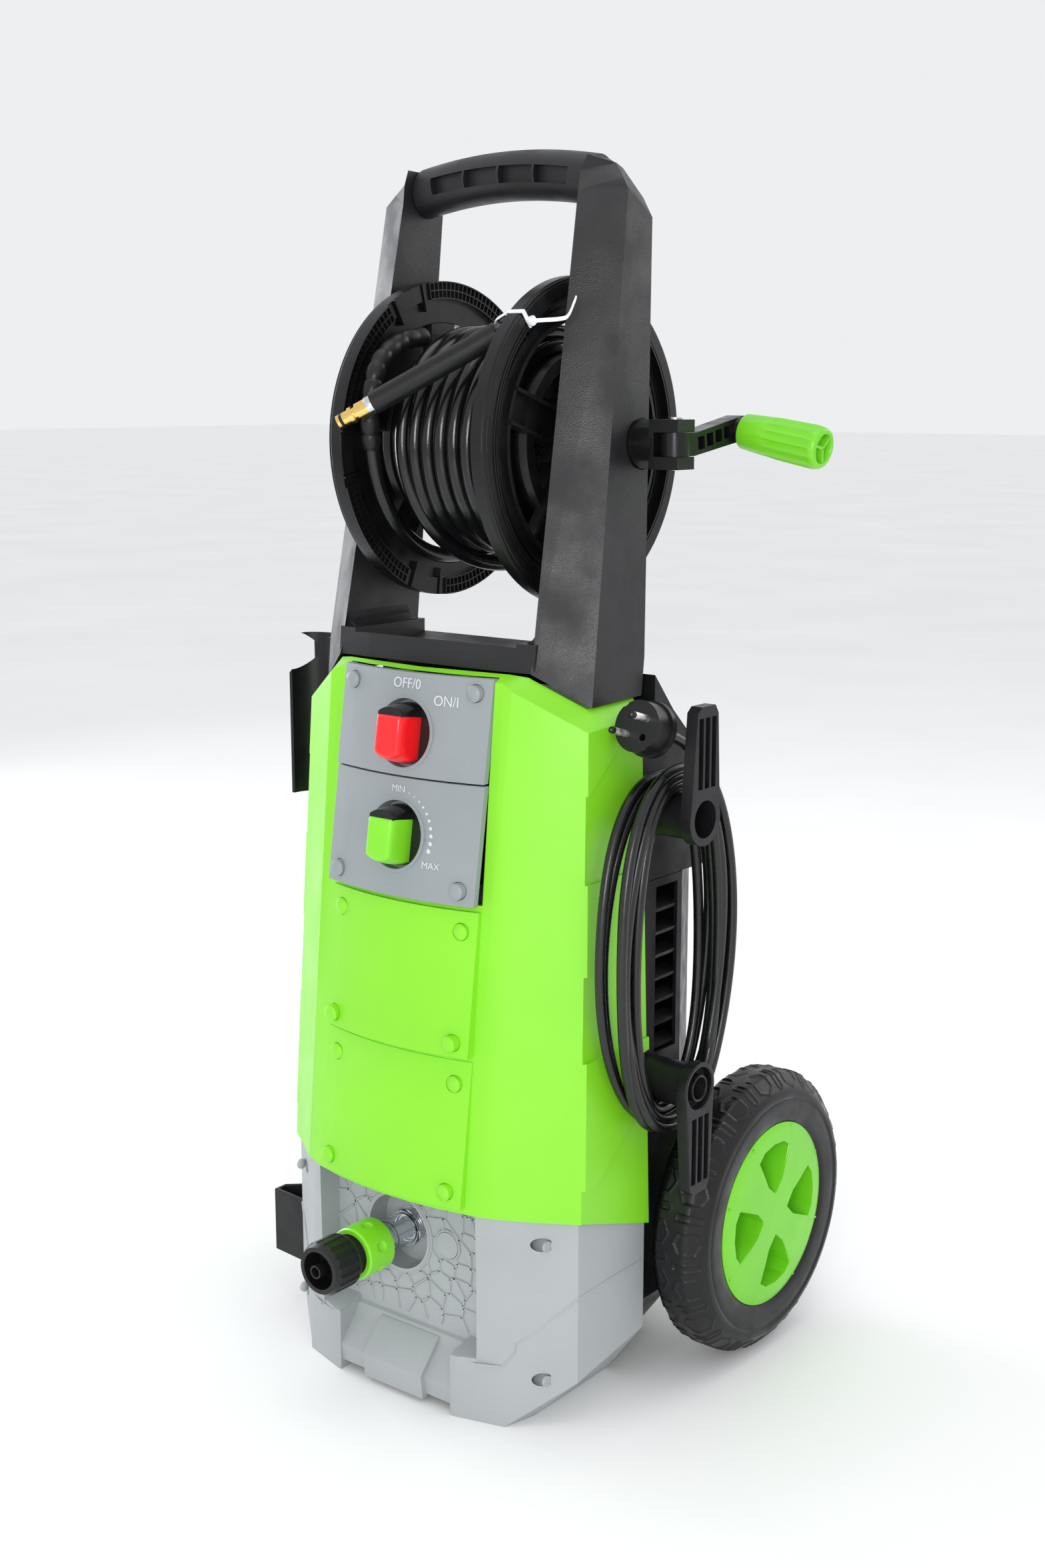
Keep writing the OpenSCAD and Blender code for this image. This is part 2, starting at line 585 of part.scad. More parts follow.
// ---- crank ----
crank_pin_x = 147;
grip_droop = 10;
grip_root = [crank_pin_x + 8, 72, 10];
module crank_hub() {
  color(BLACK) at_reel() difference() {
    union() {
      along_x(117.4, 121, 17);
      along_x(118.7, 134, 12);
      translate([132, -10.5, -17]) cube([24, 21, 34]);
      translate([132, -10.5, -15]) cube([4, 21, 30]);
    }
    translate([crank_pin_x - 11, -20, -8.3]) cube([40, 40, 16.6]);
    translate([crank_pin_x, 0, -30]) cylinder(h = 60, r = 3 + fit);
    along_x(100, 118.8, 8 + fit);
  }
}
module crank_pin() {
  color(STEEL) at_reel() translate([crank_pin_x, 0, -17.5]) {
    cylinder(h = 35, r = 3);
    translate([0, 0, 34.6]) cylinder(h = 1.4, r = 5);
  }
}
module crank_arm() {
  color(BLACK) at_reel() difference() {
    union() {
      translate([crank_pin_x, 0, -8]) cylinder(h = 16, r = 10);
      difference() {
        translate([crank_pin_x - 7, 0, 0]) rotate([90, 0, 90]) linear_extrude(14)
          polygon([[0, -8], [14, -8], [80, 2], [86, 8], [84, 17], [76, 19], [16, 8], [0, 8]]);
        for (i = [0:3]) translate([crank_pin_x + 1, 19 + 11 * i, -4 + 2.3 * i])
          rotate([7, 0, 0]) cube([8, 8, 9 - 0.2 * i]);
      }
      translate([crank_pin_x, grip_root[1], grip_root[2]]) rotate([0, 90 + grip_droop, 0])
        translate([0, 0, -3]) cylinder(h = 73, r = 4.5);
      translate([crank_pin_x, grip_root[1], grip_root[2]]) rotate([0, 90 + grip_droop, 0])
        translate([0, 0, 4]) cylinder(h = 6.5, r = 9);
    }
    translate([crank_pin_x, 0, -30]) cylinder(h = 60, r = 3 + fit);
  }
}
module crank_grip() {
  color([0.5, 0.9, 0.2]) at_reel() translate([crank_pin_x, grip_root[1], grip_root[2]])
    rotate([0, 90 + grip_droop, 0]) translate([0, 0, 11]) difference() {
      rotate_extrude() polygon([[0, 0], [11.5, 0], [12.5, 1], [14.5, 30], [15.2, 58], [14.6, 64], [13, 66], [0, 66]]);
      translate([0, 0, -1]) cylinder(h = 61, r = 4.5 + fit);
      difference() {
        translate([0, 0, 61]) cylinder(h = 10, r = 10.5);
        for (a = [0:120:240]) rotate([0, 0, a]) translate([0, -1, 60]) cube([12, 2, 8]);
      }
    }
}

// ---- wheels ----
tyre_in = 136;
tyre_out = 186;
hub_r = 72;
module at_axle() { translate([0, axle_y, tyre_r]) children(); }
module wheel_tyre() {
  w = tyre_out - tyre_in;
  difference() {
    translate([tyre_in, 0, 0]) lathe_x() polygon([
      [hub_r + 0.2, 3], [tyre_r - 20, 0], [tyre_r - 6, 4], [tyre_r - 1.2, 12], [tyre_r, 16], [tyre_r, w - 16],
      [tyre_r - 1.2, w - 12], [tyre_r - 6, w - 4], [tyre_r - 20, w], [hub_r + 8, w - 1], [hub_r + 0.2, w - 3]]);
  }
}
module tyre_right() { color(BLACK) at_axle() wheel_tyre(); }
module tyre_left() { color(BLACK) at_axle() mirror([1, 0, 0]) wheel_tyre(); }
module hub_pocket(a) {
  rotate([a, 0, 0]) translate([tyre_out - 27, 0, 0]) rotate([90, 0, 90]) linear_extrude(40)
    polygon([[0, 17], [10, 26], [22, 50], [14, 56], [0, 58], [-14, 56], [-22, 50], [-10, 26]]);
}
module wheel_hub() {
  difference() {
    union() {
      translate([tyre_in + 5, 0, 0]) lathe_x() polygon([
        [0, 12], [hub_r - 14, 12], [hub_r - 3, 0], [hub_r, 0], [hub_r, 42], [hub_r - 6, 44], [40, 45], [0, 45]]);
      along_x(tyre_in + 1, tyre_in + 20, 13);
    }
    for (a = [0:90:270]) hub_pocket(a + 45 - 42);
    along_x(100, tyre_out - 12, axle_r + fit);
  }
}
module wheel_hub_right() { color([0.5, 0.88, 0.2]) at_axle() wheel_hub(); }
module wheel_hub_left() { color([0.5, 0.88, 0.2]) at_axle() mirror([1, 0, 0]) wheel_hub(); }
module wheel_axle() { color(STEEL) at_axle() along_x(14 - tyre_out, tyre_out - 14, axle_r); }
module axle_clips() {
  color(STEEL) at_axle() mirrored() difference() {
    along_x(rear_x + 0.3, rear_x + 2.3, 11);
    along_x(rear_x - 1, rear_x + 4, axle_r + fit);
  }
}

// ---- controls ----
module knob_shape() {
  difference() {
    union() {
      translate([0, 0, -9]) cylinder(h = 4, r = knob_r);
      intersection() {
        translate([0, 0, -9]) rotate_extrude() polygon([[0, 0], [knob_r, 0], [knob_r - 1, 12], [knob_r - 4, 25], [0, 25]]);
        translate([-11, -30, -9]) cube([22, 60, 30]);
      }
      translate([0, 0, -22]) cylinder(h = 14, r = 4);
    }
    knob_insert_cut(0.1);
  }
}
module knob_insert_cut(g) {
  intersection() {
    translate([-11.5 - g, -knob_r - 2, 2 - g]) cube([23 + 2 * g, knob_r + 9 + g, 30]);
    translate([0, -knob_r * 0.42, 2 - g]) cylinder(h = 30, r = knob_r * 0.82 + g);
  }
}
module knob_insert() {
  intersection() {
    knob_insert_cut(0);
    translate([0, 0, -9]) rotate_extrude() polygon([[0, 0], [knob_r, 0], [knob_r - 1, 12], [knob_r - 4, 25.6], [0, 25.6]]);
    translate([-11, -30, -9]) cube([22, 60, 30]);
  }
}
module power_knob() { color(BLACK) at_knob(power_z, power_y) knob_shape(); }
module pressure_knob() { color(BLACK) at_knob(pressure_z, pressure_y) knob_shape(); }
module power_knob_insert() { color([1, 0.1, 0.1]) at_knob(power_z, power_y) knob_insert(); }
module pressure_knob_insert() { color([0.6, 0.9, 0.25]) at_knob(pressure_z, pressure_y) knob_insert(); }
module switch_body() {
  color([0.2, 0.2, 0.22]) at_knob(power_z, power_y) difference() {
    translate([-22, -24, -52]) cube([44, 48, 40]);
    translate([0, 0, -24]) cylinder(h = 20, r = 4 + fit);
  }
}
module regulator_valve() {
  color([0.85, 0.65, 0.3]) at_knob(pressure_z, pressure_y) difference() {
    union() {
      translate([0, 0, -40]) cylinder(h = 28, r = 12);
      translate([0, 0, -58]) cylinder(h = 20, r = 15, $fn = 6);
    }
    translate([0, 0, -24]) cylinder(h = 20, r = 4 + fit);
  }
}

// ---- water inlet ----
module at_inlet(y) { translate([inlet_x, y, inlet_z]) rotate([90, 0, 0]) children(); }
module inlet_thread() {
  color([0.8, 0.8, 0.82]) at_inlet(-70) difference() {
    union() {
      cylinder(h = 28, r = 11);
      translate([0, 0, 28]) cylinder(h = 2.5, r = 14);
      for (i = [0:3]) translate([0, 0, 31 + 1.8 * i]) cylinder(h = 1.2, r = 13.4);
      translate([0, 0, 28]) cylinder(h = 10, r = 12.6);
    }
    translate([0, 0, -1]) cylinder(h = 50, r = 8);
  }
}
module filter_bowl() {
  color([0.85, 0.9, 0.95, 0.4]) at_inlet(-108) difference() {
    union() {
      cylinder(h = 3, r = 14.5);
      cylinder(h = 22, r = 12);
      translate([0, 0, 22]) cylinder(h = 26, r = 9);
    }
    translate([0, 0, -1]) cylinder(h = 21, r = 10.5);
    translate([0, 0, 10]) cylinder(h = 60, r = 6);
  }
}
module filter_mesh() {
  color([0.95, 0.95, 0.95]) at_inlet(-101) difference() {
    union() {
      cylinder(h = 6, r = 7.9);
      cylinder(h = 32, r = 5.5);
      for (a = [0:60:300]) rotate([0, 0, a]) translate([5, -0.8, 0]) cube([2.2, 1.6, 24]);
    }
    translate([0, 0, -1]) cylinder(h = 32, r = 3.8);
  }
}
module coupling_body() {
  color(BLACK) at_inlet(-141) difference() {
    union() {
      cylinder(h = 28, r = 15.5);
      translate([0, 0, 28]) cylinder(h = 18, r = 14);
      translate([0, 0, 46]) cylinder(h = 19, r = 5);
    }
    translate([0, 0, -1]) cylinder(h = 18, r = 9.1);
    translate([0, 0, 10]) cylinder(h = 90, r = 3.6);
  }
}
module coupling_sleeve() {
  color([0.6, 0.9, 0.25]) at_inlet(-141) difference() {
    rotate_extrude() polygon([[15.5 + fit, 0], [18.4, 0], [19.6, 1.5], [19.6, 26], [18.6, 27.5], [15.5 + fit, 27.5]]);
    for (a = [20:60:320]) rotate([0, 0, a]) translate([26.2, 0, 14]) sphere(r = 8.2, $fn = 32);
  }
}
module hose_nut() {
  color(BLACK) at_inlet(-177) difference() {
    union() {
      rotate_extrude() polygon([[14 + fit, 0], [18.6, 0], [19.9, 2], [19.9, 21.5], [17.5, 26], [14 + fit, 26]]);
    }
    for (a = [0:20:340]) rotate([0, 0, a]) translate([20.6, 0, 3]) cylinder(h = 19.5, r = 1.6, $fn = 16);
  }
}

// ---- drive ----
motor_r = 50;
motor_z = [200, 352];
cap_r = 18;
cap_z = 246;
cap_at = [52.5, -14];
module motor_housing() {
  color([0.35, 0.36, 0.38]) translate([0, 30, 0]) difference() {
    union() {
      translate([0, 0, motor_z[0]]) cylinder(h = motor_z[1] - motor_z[0], r = motor_r);
      // saddle that carries the capacitor
      translate([0, 0, cap_z + 12]) rotate([0, 0, -40]) translate([30, -12, 0]) cube([30, 24, 50]);
    }
    translate([cap_at[0], cap_at[1] - 30, 0]) cylinder(h = 500, r = cap_r);
    translate([0, 0, motor_z[0] + 8]) cylinder(h = motor_z[1] - motor_z[0] - 16, r = motor_r - 10);
    translate([0, 0, 100]) cylinder(h = 300, r = 7 + fit);
  }
}
module motor_rotor() {
  color(STEEL) translate([0, 30, 0]) {
    translate([0, 0, 188]) cylinder(h = 180, r = 7);
    translate([0, 0, motor_z[0] + 22]) cylinder(h = 100, r = motor_r - 11);
    translate([0, 0, motor_z[1] + 3]) {
      cylinder(h = 3, r = 38);
      for (a = [0:45:315]) rotate([0, 0, a]) translate([12, -1, 2.5]) cube([26, 2, 9.5]);
    }
  }
}
module pump_body() {
  color([0.66, 0.67, 0.68]) difference() {
    union() {
      translate([0, 30, 92]) cylinder(h = motor_z[0] - 92, r = 44);
      translate([inlet_x - 20, -70, inlet_z - 17]) cube([40, 100, 34]);
      // feet on the rear housing's floor
      for (x = [-28, 28]) for (y = [8, 52]) translate([x, y, 20 + wall]) cylinder(h = 75, r = 7);
      translate([-70, 12, 130]) cube([60, 36, 36]);
    }
    translate([0, 30, 186]) cylinder(h = 30, r = 7 + fit);
    translate([inlet_x, 0, inlet_z]) rotate([90, 0, 0]) cylinder(h = 80, r = 8);
    translate([-52, 30, 150]) cylinder(h = 30, r = 5 + fit);
  }
}
module capacitor() { color([0.8, 0.8, 0.82]) translate([cap_at[0], cap_at[1], cap_z]) cylinder(h = 76, r = cap_r); }
// High-pressure link from the pump up inside the left upright to the swivel on the reel axle.
link_route = [[-52, 30, 152], [-52, 30, 170], [-70, 20, 230], [-90, 0, 290], [-98, -30, 360], [-106, -44, 530],
  [-104, -38, 600], [-100, -26, 660]];
module link_hose() {
  color(BLACK) swept_tube(smooth(link_route, 3), 5, 8);
}

// ---- mains lead ----
cord_r = cord_d / 2;
hank_x = [144, 168];
hank_c = [-11, 345];
function oval(hw, hh) = [for (a = [0:10:350]) [hank_c[0] + hw * cos(a), hank_c[1] + hh * sin(a)]];
module cord_gland() {
  color(BLACK) difference() {
    translate([0, gland_y, gland_z]) {
      along_x(rear_x - 8, rear_x + 3, 6);
      along_x(rear_x, rear_x + 2, 9);
    }
    translate([0, gland_y, gland_z]) along_x(100, 200, cord_r + fit);
  }
}
lead_route = [[90, 20, 232], [118, 20, 232], [hank_x[0], 20, 232]];
module cord_lead() { color(BLACK) swept_tube(lead_route, cord_r, 8); }
module cord_hank() {
  color(BLACK) translate([hank_x[0], 0, 0]) rotate([90, 0, 90]) linear_extrude(hank_x[1] - hank_x[0]) difference() {
    polygon(oval(80, 144));
    polygon(oval(50, 117.5));
  }
}
plug_at = [154, -52, 512];
plug_tilt = 16;
module at_plug() { translate(plug_at) rotate([90 - plug_tilt, 0, 0]) rotate([0, 0, 40]) children(); }
end_run_route = [[154, -19.3, 502.6], [154, -8, 499], [155, 4, 493], [156, 12, 482]];
module cord_end_run() { color(BLACK) swept_tube(end_run_route, cord_r, 8); }
module plug_body() {
  color(BLACK) at_plug() difference() {
    union() {
      translate([0, 0, -17]) cylinder(h = 17, r = 18.3);
      translate([0, 0, -20]) cylinder(h = 5, r = 20);
      translate([0, 0, -34]) cylinder(h = 15, r1 = 9, r2 = 15);
      for (s = [-1, 1]) translate([9.5 * s, 0, 0]) cylinder(h = 19, r = 2.4);
    }
    for (s = [-1, 1]) rotate([0, 0, 90]) translate([9.5 * s, 0, -12]) cylinder(h = 13, r = 2.5);
    rotate([0, 0, 90]) mirrored() translate([17.5, -2, -16]) cube([5, 4, 30]);
  }
}

base_housing();
front_cover();
rear_housing();
rear_upper_housing();
switch_panel();
regulator_panel();
panel_plugs_grey();
panel_plugs_green();
base_screws();
handle_frame();
handle_grip();
gun_holder();
lance_holder();
upper_cable_hook();
lower_cable_hook();
hook_screw();
reel_flange_left();
reel_flange_right();
reel_drum();
reel_axle();
hose_coil();
hose_kink_guard();
hose_end_run();
hose_sleeve();
hose_ferrule();
hose_fitting();
fitting_o_ring();
cable_tie();
crank_hub();
crank_arm();
crank_pin();
crank_grip();
tyre_left();
tyre_right();
wheel_hub_left();
wheel_hub_right();
wheel_axle();
axle_clips();
power_knob();
power_knob_insert();
switch_body();
pressure_knob();
pressure_knob_insert();
regulator_valve();
inlet_thread();
filter_bowl();
filter_mesh();
coupling_body();
coupling_sleeve();
hose_nut();
motor_housing();
motor_rotor();
pump_body();
capacitor();
link_hose();
cord_gland();
cord_lead();
cord_hank();
cord_end_run();
plug_body();
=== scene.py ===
import math
import random

import bpy
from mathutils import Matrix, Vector


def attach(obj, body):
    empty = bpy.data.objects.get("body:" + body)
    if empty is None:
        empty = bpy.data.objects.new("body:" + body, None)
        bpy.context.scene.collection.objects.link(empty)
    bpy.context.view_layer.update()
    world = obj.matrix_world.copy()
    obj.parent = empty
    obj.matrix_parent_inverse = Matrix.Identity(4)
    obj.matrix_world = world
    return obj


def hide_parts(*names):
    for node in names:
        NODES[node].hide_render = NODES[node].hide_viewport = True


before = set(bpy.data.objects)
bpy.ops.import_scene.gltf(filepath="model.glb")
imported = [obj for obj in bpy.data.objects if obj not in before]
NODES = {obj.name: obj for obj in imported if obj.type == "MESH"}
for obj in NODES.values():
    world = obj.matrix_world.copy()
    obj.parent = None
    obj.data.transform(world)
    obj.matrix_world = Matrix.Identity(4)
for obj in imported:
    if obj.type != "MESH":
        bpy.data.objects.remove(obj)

SCENE = bpy.context.scene
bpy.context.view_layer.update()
MM = 0.001

# ---------------------------------------------------------------- camera
CAMERA_AT = Vector((0.9072, -1.1304, 0.7379))
CAMERA_AZIMUTH = math.radians(38.35)
CAMERA_PITCH = math.radians(11.47)
CAMERA_LENS = 44.59


def make_camera():
    data = bpy.data.cameras.new("camera")
    data.lens = CAMERA_LENS
    data.sensor_width = 36
    camera = bpy.data.objects.new("camera", data)
    SCENE.collection.objects.link(camera)
    back = Vector((math.sin(CAMERA_AZIMUTH) * math.cos(CAMERA_PITCH),
                   -math.cos(CAMERA_AZIMUTH) * math.cos(CAMERA_PITCH),
                   math.sin(CAMERA_PITCH)))
    camera.location = CAMERA_AT
    camera.rotation_mode = "QUATERNION"
    camera.rotation_quaternion = (-back).to_track_quat("-Z", "Y")
    SCENE.camera = camera


# ---------------------------------------------------------------- materials
def shader(name):
    """A new material and its node helpers."""
    m = bpy.data.materials.new(name)
    m.use_nodes = True
    return m, m.node_tree, m.node_tree.nodes["Principled BSDF"]


def place_noise(tree, scale, detail=3, stretch=(1, 1, 1)):
    """Noise in the object's own space, so that it stays put on the surface."""
    coords = tree.nodes.new("ShaderNodeTexCoord")
    mapping = tree.nodes.new("ShaderNodeMapping")
    mapping.inputs["Scale"].default_value = stretch
    noise = tree.nodes.new("ShaderNodeTexNoise")
    noise.inputs["Scale"].default_value = scale
    noise.inputs["Detail"].default_value = detail
    tree.links.new(coords.outputs["Object"], mapping.inputs["Vector"])
    tree.links.new(mapping.outputs["Vector"], noise.inputs["Vector"])
    return noise.outputs["Fac"]


def spread_of(tree, value, low, high, start=0.35, end=0.65):
    """Maps a noise's middle range to low..high."""
    ranged = tree.nodes.new("ShaderNodeMapRange")
    for key, number in (("From Min", start), ("From Max", end), ("To Min", low), ("To Max", high)):
        ranged.inputs[key].default_value = number
    tree.links.new(value, ranged.inputs["Value"])
    return ranged.outputs["Result"]


def tinted(tree, bsdf, value, dark, light):
    """The base colour runs between two tones with a noise."""
    ramp = tree.nodes.new("ShaderNodeValToRGB")
    ramp.color_ramp.elements[0].position = 0.3
    ramp.color_ramp.elements[1].position = 0.7
    ramp.color_ramp.elements[0].color = (*dark, 1)
    ramp.color_ramp.elements[1].color = (*light, 1)
    tree.links.new(value, ramp.inputs["Fac"])
    tree.links.new(ramp.outputs["Color"], bsdf.inputs["Base Color"])


def bumped(tree, bsdf, value, strength, depth):
    bump = tree.nodes.new("ShaderNodeBump")
    bump.inputs["Strength"].default_value = strength
    bump.inputs["Distance"].default_value = depth
    tree.links.new(value, bump.inputs["Height"])
    tree.links.new(bump.outputs["Normal"], bsdf.inputs["Normal"])


def scaled(colour, k):
    return tuple(min(1.0, c * k) for c in colour)


def moulded(name, colour, rough=0.45, grain=900, grain_depth=0.25, vary=0.06, blotch=14,
            rough_vary=0.08, coat=0.0, gloss=0.5):
    """Moulded plastic: a fine spark-eroded grain, patches of slightly other gloss and tone."""
    m, tree, bsdf = shader(name)
    patches = place_noise(tree, blotch, 4)
    tinted(tree, bsdf, patches, scaled(colour, 1 - vary), scaled(colour, 1 + vary))
    rough_from = place_noise(tree, blotch * 3.1, 5)
    tree.links.new(spread_of(tree, rough_from, rough - rough_vary, rough + rough_vary),
                   bsdf.inputs["Roughness"])
    bumped(tree, bsdf, place_noise(tree, grain, 2), grain_depth, 0.0004)
    bsdf.inputs["Specular IOR Level"].default_value = gloss
    bsdf.inputs["Coat Weight"].default_value = coat
    bsdf.inputs["Coat Roughness"].default_value = 0.25
    return m


def metal(name, colour, rough=0.25, brush=(1, 1, 1), scale=300, vary=0.08):
    """Turned or plated metal with fine tool marks."""
    m, tree, bsdf = shader(name)
    bsdf.inputs["Metallic"].default_value = 1
    marks = place_noise(tree, scale, 4, brush)
    tinted(tree, bsdf, marks, scaled(colour, 1 - vary), scaled(colour, 1 + vary))
    tree.links.new(spread_of(tree, marks, rough * 0.7, rough * 1.4), bsdf.inputs["Roughness"])
    bumped(tree, bsdf, marks, 0.12, 0.0002)
    return m


def clear_plastic(name):
    m, tree, bsdf = shader(name)
    bsdf.inputs["Transmission Weight"].default_value = 1
    bsdf.inputs["IOR"].default_value = 1.45
    haze = place_noise(tree, 120, 4)
    tinted(tree, bsdf, haze, (0.86, 0.91, 0.95), (0.95, 0.98, 1.0))
    tree.links.new(spread_of(tree, haze, 0.03, 0.12), bsdf.inputs["Roughness"])
    return m


LIME = (0.232, 0.70, 0.016)
TRIM_LIME = (0.21, 0.70, 0.016)
HUB_GREEN = (0.175, 0.62, 0.016)
HOUSING_BLACK = (0.0085, 0.0083, 0.0098)
FRAME_BLACK = (0.009, 0.0087, 0.0102)
GREY = (0.37, 0.395, 0.405)
PANEL = (0.27, 0.30, 0.315)
# name, colour, roughness, grain scale, grain depth, tone spread, patch scale, roughness spread, coat, gloss
MATERIALS = {
    "lime": moulded("lime_cover_plastic", LIME, 0.42, 700, 0.18, 0.035, 9, 0.06, 0.1),
    "lime_small": moulded("lime_trim_plastic", TRIM_LIME, 0.34, 900, 0.15, 0.04, 30, 0.06, 0.15),
    "hub_green": moulded("green_hub_plastic", HUB_GREEN, 0.36, 900, 0.12, 0.05, 22, 0.07, 0.1),
    "grey": moulded("light_grey_plastic", GREY, 0.5, 800, 0.3, 0.04, 12, 0.06),
    "panel": moulded("control_panel_plastic", PANEL, 0.42, 1000, 0.3, 0.05, 16, 0.07),
    "black": moulded("black_housing_plastic", HOUSING_BLACK, 0.42, 900, 0.3, 0.2, 18, 0.09, 0, 0.3),
    "frame": moulded("black_frame_plastic", FRAME_BLACK, 0.42, 1300, 0.5, 0.3, 9, 0.12, 0, 0.45),
    "reel": moulded("black_reel_plastic", (0.0055, 0.0055, 0.0062), 0.3, 900, 0.2, 0.2, 22, 0.09, 0, 0.32),
    "knob": moulded("black_knob_plastic", (0.0055, 0.0055, 0.006), 0.25, 1200, 0.12, 0.15, 40, 0.07, 0, 0.4),
    "red": moulded("red_insert_plastic", (0.93, 0.006, 0.009), 0.3, 1000, 0.12, 0.04, 40, 0.05, 0.2),
    "hose": moulded("hose_cover_rubber", (0.0045, 0.0045, 0.0052), 0.19, 500, 0.1, 0.2, 30, 0.06, 0.1, 0.45),
    "sleeve": moulded("sleeve_rubber", (0.007, 0.007, 0.0076), 0.4, 900, 0.25, 0.2, 25, 0.1, 0, 0.36),
    "cord": moulded("cord_jacket", (0.006, 0.006, 0.0066), 0.3, 800, 0.12, 0.2, 40, 0.08, 0.05, 0.5),
    "tyre": moulded("tyre_plastic", (0.006, 0.006, 0.0068), 0.36, 700, 0.3, 0.3, 18, 0.1, 0, 0.36),
    "seal": moulded("seal_rubber", (0.006, 0.006, 0.006), 0.3, 700, 0.1, 0.1, 50, 0.05, 0, 0.4),
    "white": moulded("white_nylon", (0.83, 0.85, 0.87), 0.3, 900, 0.1, 0.03, 60, 0.05),
    "marks": moulded("dial_mark_plastic", (0.62, 0.65, 0.66), 0.4, 1000, 0.15, 0.04, 40, 0.05),
    "steel": metal("turned_steel", (0.62, 0.62, 0.64), 0.28, (1, 6, 6)),
    "pins": metal("pin_plate", (0.82, 0.82, 0.8), 0.42, (1, 1, 1), 200, 0.05),
    "zinc": metal("zinc_plate", (0.66, 0.69, 0.72), 0.22),
    "brass": metal("turned_brass", (0.87, 0.60, 0.20), 0.18, (1, 5, 5), 500, 0.06),
    "alloy": metal("cast_alloy", (0.50, 0.51, 0.52), 0.45, (1, 1, 1), 160, 0.1),
    "clear": clear_plastic("clear_bowl_plastic"),
}

# which CAD nodes wear each material
NODE_LOOKS = {
    "lime": ["front_cover", "panel_plugs_green"],
    "lime_small": ["pressure_knob_insert", "coupling_sleeve"],
    "hub_green": ["crank_grip", "wheel_hub_left", "wheel_hub_right"],
    "grey": ["base_housing", "base_screws"],
    "panel": ["switch_panel", "regulator_panel", "panel_plugs_grey"],
    "black": ["rear_housing", "rear_upper_housing", "gun_holder", "lance_holder",
              "upper_cable_hook", "lower_cable_hook", "switch_body", "cord_gland", "link_hose"],
    "frame": ["handle_frame", "handle_grip"],
    "reel": ["reel_flange_left", "reel_flange_right", "reel_drum", "crank_hub", "crank_arm"],
    "knob": ["power_knob", "pressure_knob"],
    "red": ["power_knob_insert"],
    "sleeve": ["hose_sleeve", "coupling_body", "hose_nut", "plug_body"],
    "hose": ["hose_coil", "hose_end_run", "hose_kink_guard"],
    "cord": ["cord_lead", "cord_hank", "cord_end_run"],
    "tyre": ["tyre_left", "tyre_right"],
    "seal": ["fitting_o_ring"],
    "white": ["cable_tie", "filter_mesh"],
    "steel": ["hook_screw", "reel_axle", "crank_pin", "wheel_axle", "axle_clips", "motor_rotor"],
    "zinc": ["hose_ferrule", "capacitor", "inlet_thread"],
    "brass": ["hose_fitting", "regulator_valve"],
    "alloy": ["pump_body", "motor_housing"],
    "clear": ["filter_bowl"],
}
# width of the softened edges in millimetres, where it is not EDGE_USUAL
EDGE_USUAL = 0.4
EDGE = {"front_cover": 1.6, "base_housing": 1.4, "handle_frame": 2.4, "handle_grip": 1.5,
        "rear_housing": 1.5, "rear_upper_housing": 2.0, "gun_holder": 0.7, "lance_holder": 0.6,
        "switch_panel": 0.35, "regulator_panel": 0.35, "crank_arm": 1.2, "crank_hub": 0.8,
        "power_knob": 1.2, "pressure_knob": 1.2, "wheel_hub_left": 1.6, "wheel_hub_right": 1.6,
        "upper_cable_hook": 0.9, "lower_cable_hook": 0.9,
        "hose_nut": 0.5, "coupling_sleeve": 0.6, "cable_tie": 0.25, "hose_fitting": 0.3,
        "reel_flange_left": 0.8, "reel_flange_right": 0.8}
EDGE_ANGLE = math.radians(28)
PANEL_EDGE_ANGLE = math.radians(50)
WELD_WITHIN = 0.00001


def dress_cad():
    """Gives each CAD node its material, softened edges and clean shading."""
    for look, names in NODE_LOOKS.items():
        for name in names:
            o = NODES[name]
            o.data.materials.clear()
            o.data.materials.append(MATERIALS[look])
            if o.hide_render:
                continue
            if "custom_normal" in o.data.attributes:
                o.data.attributes.remove(o.data.attributes["custom_normal"])
            o.data.polygons.foreach_set("use_smooth", [True] * len(o.data.polygons))
            weld = o.modifiers.new("weld", "WELD")
            weld.merge_threshold = WELD_WITHIN
            bevel = o.modifiers.new("edges", "BEVEL")
            bevel.width = EDGE.get(name, EDGE_USUAL) * MM
            bevel.segments = 2
            bevel.limit_method = "ANGLE"
            bevel.angle_limit = PANEL_EDGE_ANGLE if name.endswith("_panel") else EDGE_ANGLE
            bevel.use_clamp_overlap = True
            normals = o.modifiers.new("normals", "WEIGHTED_NORMAL")
            normals.weight = 80


# ---------------------------------------------------------------- mesh helpers
SHARP_ANGLE = math.radians(38)


def piece(name, points, faces, look, body, smooth=True):
    """A mesh piece in metres, in the shared frame, riding on a body."""
    mesh = bpy.data.meshes.new(name)
    mesh.from_pydata([tuple(p) for p in points], [], faces)
    mesh.update()
    if smooth:
        mesh.polygons.foreach_set("use_smooth", [True] * len(mesh.polygons))
        mesh.set_sharp_from_angle(angle=SHARP_ANGLE)
    mesh.materials.append(MATERIALS[look])
    o = bpy.data.objects.new(name, mesh)
    SCENE.collection.objects.link(o)
    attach(o, body)
    return o


def grid_faces(rows, columns, wrap=False, close=False):
    """Quads between rows of points; wrap joins each row's ends, close joins the last row to the first."""
    faces = []
    for i in range(rows if close else rows - 1):
        for j in range(columns if wrap else columns - 1):
            a, b = i * columns, (i + 1) % rows * columns
            k = (j + 1) % columns
            faces.append((a + j, a + k, b + k, b + j))
    return faces


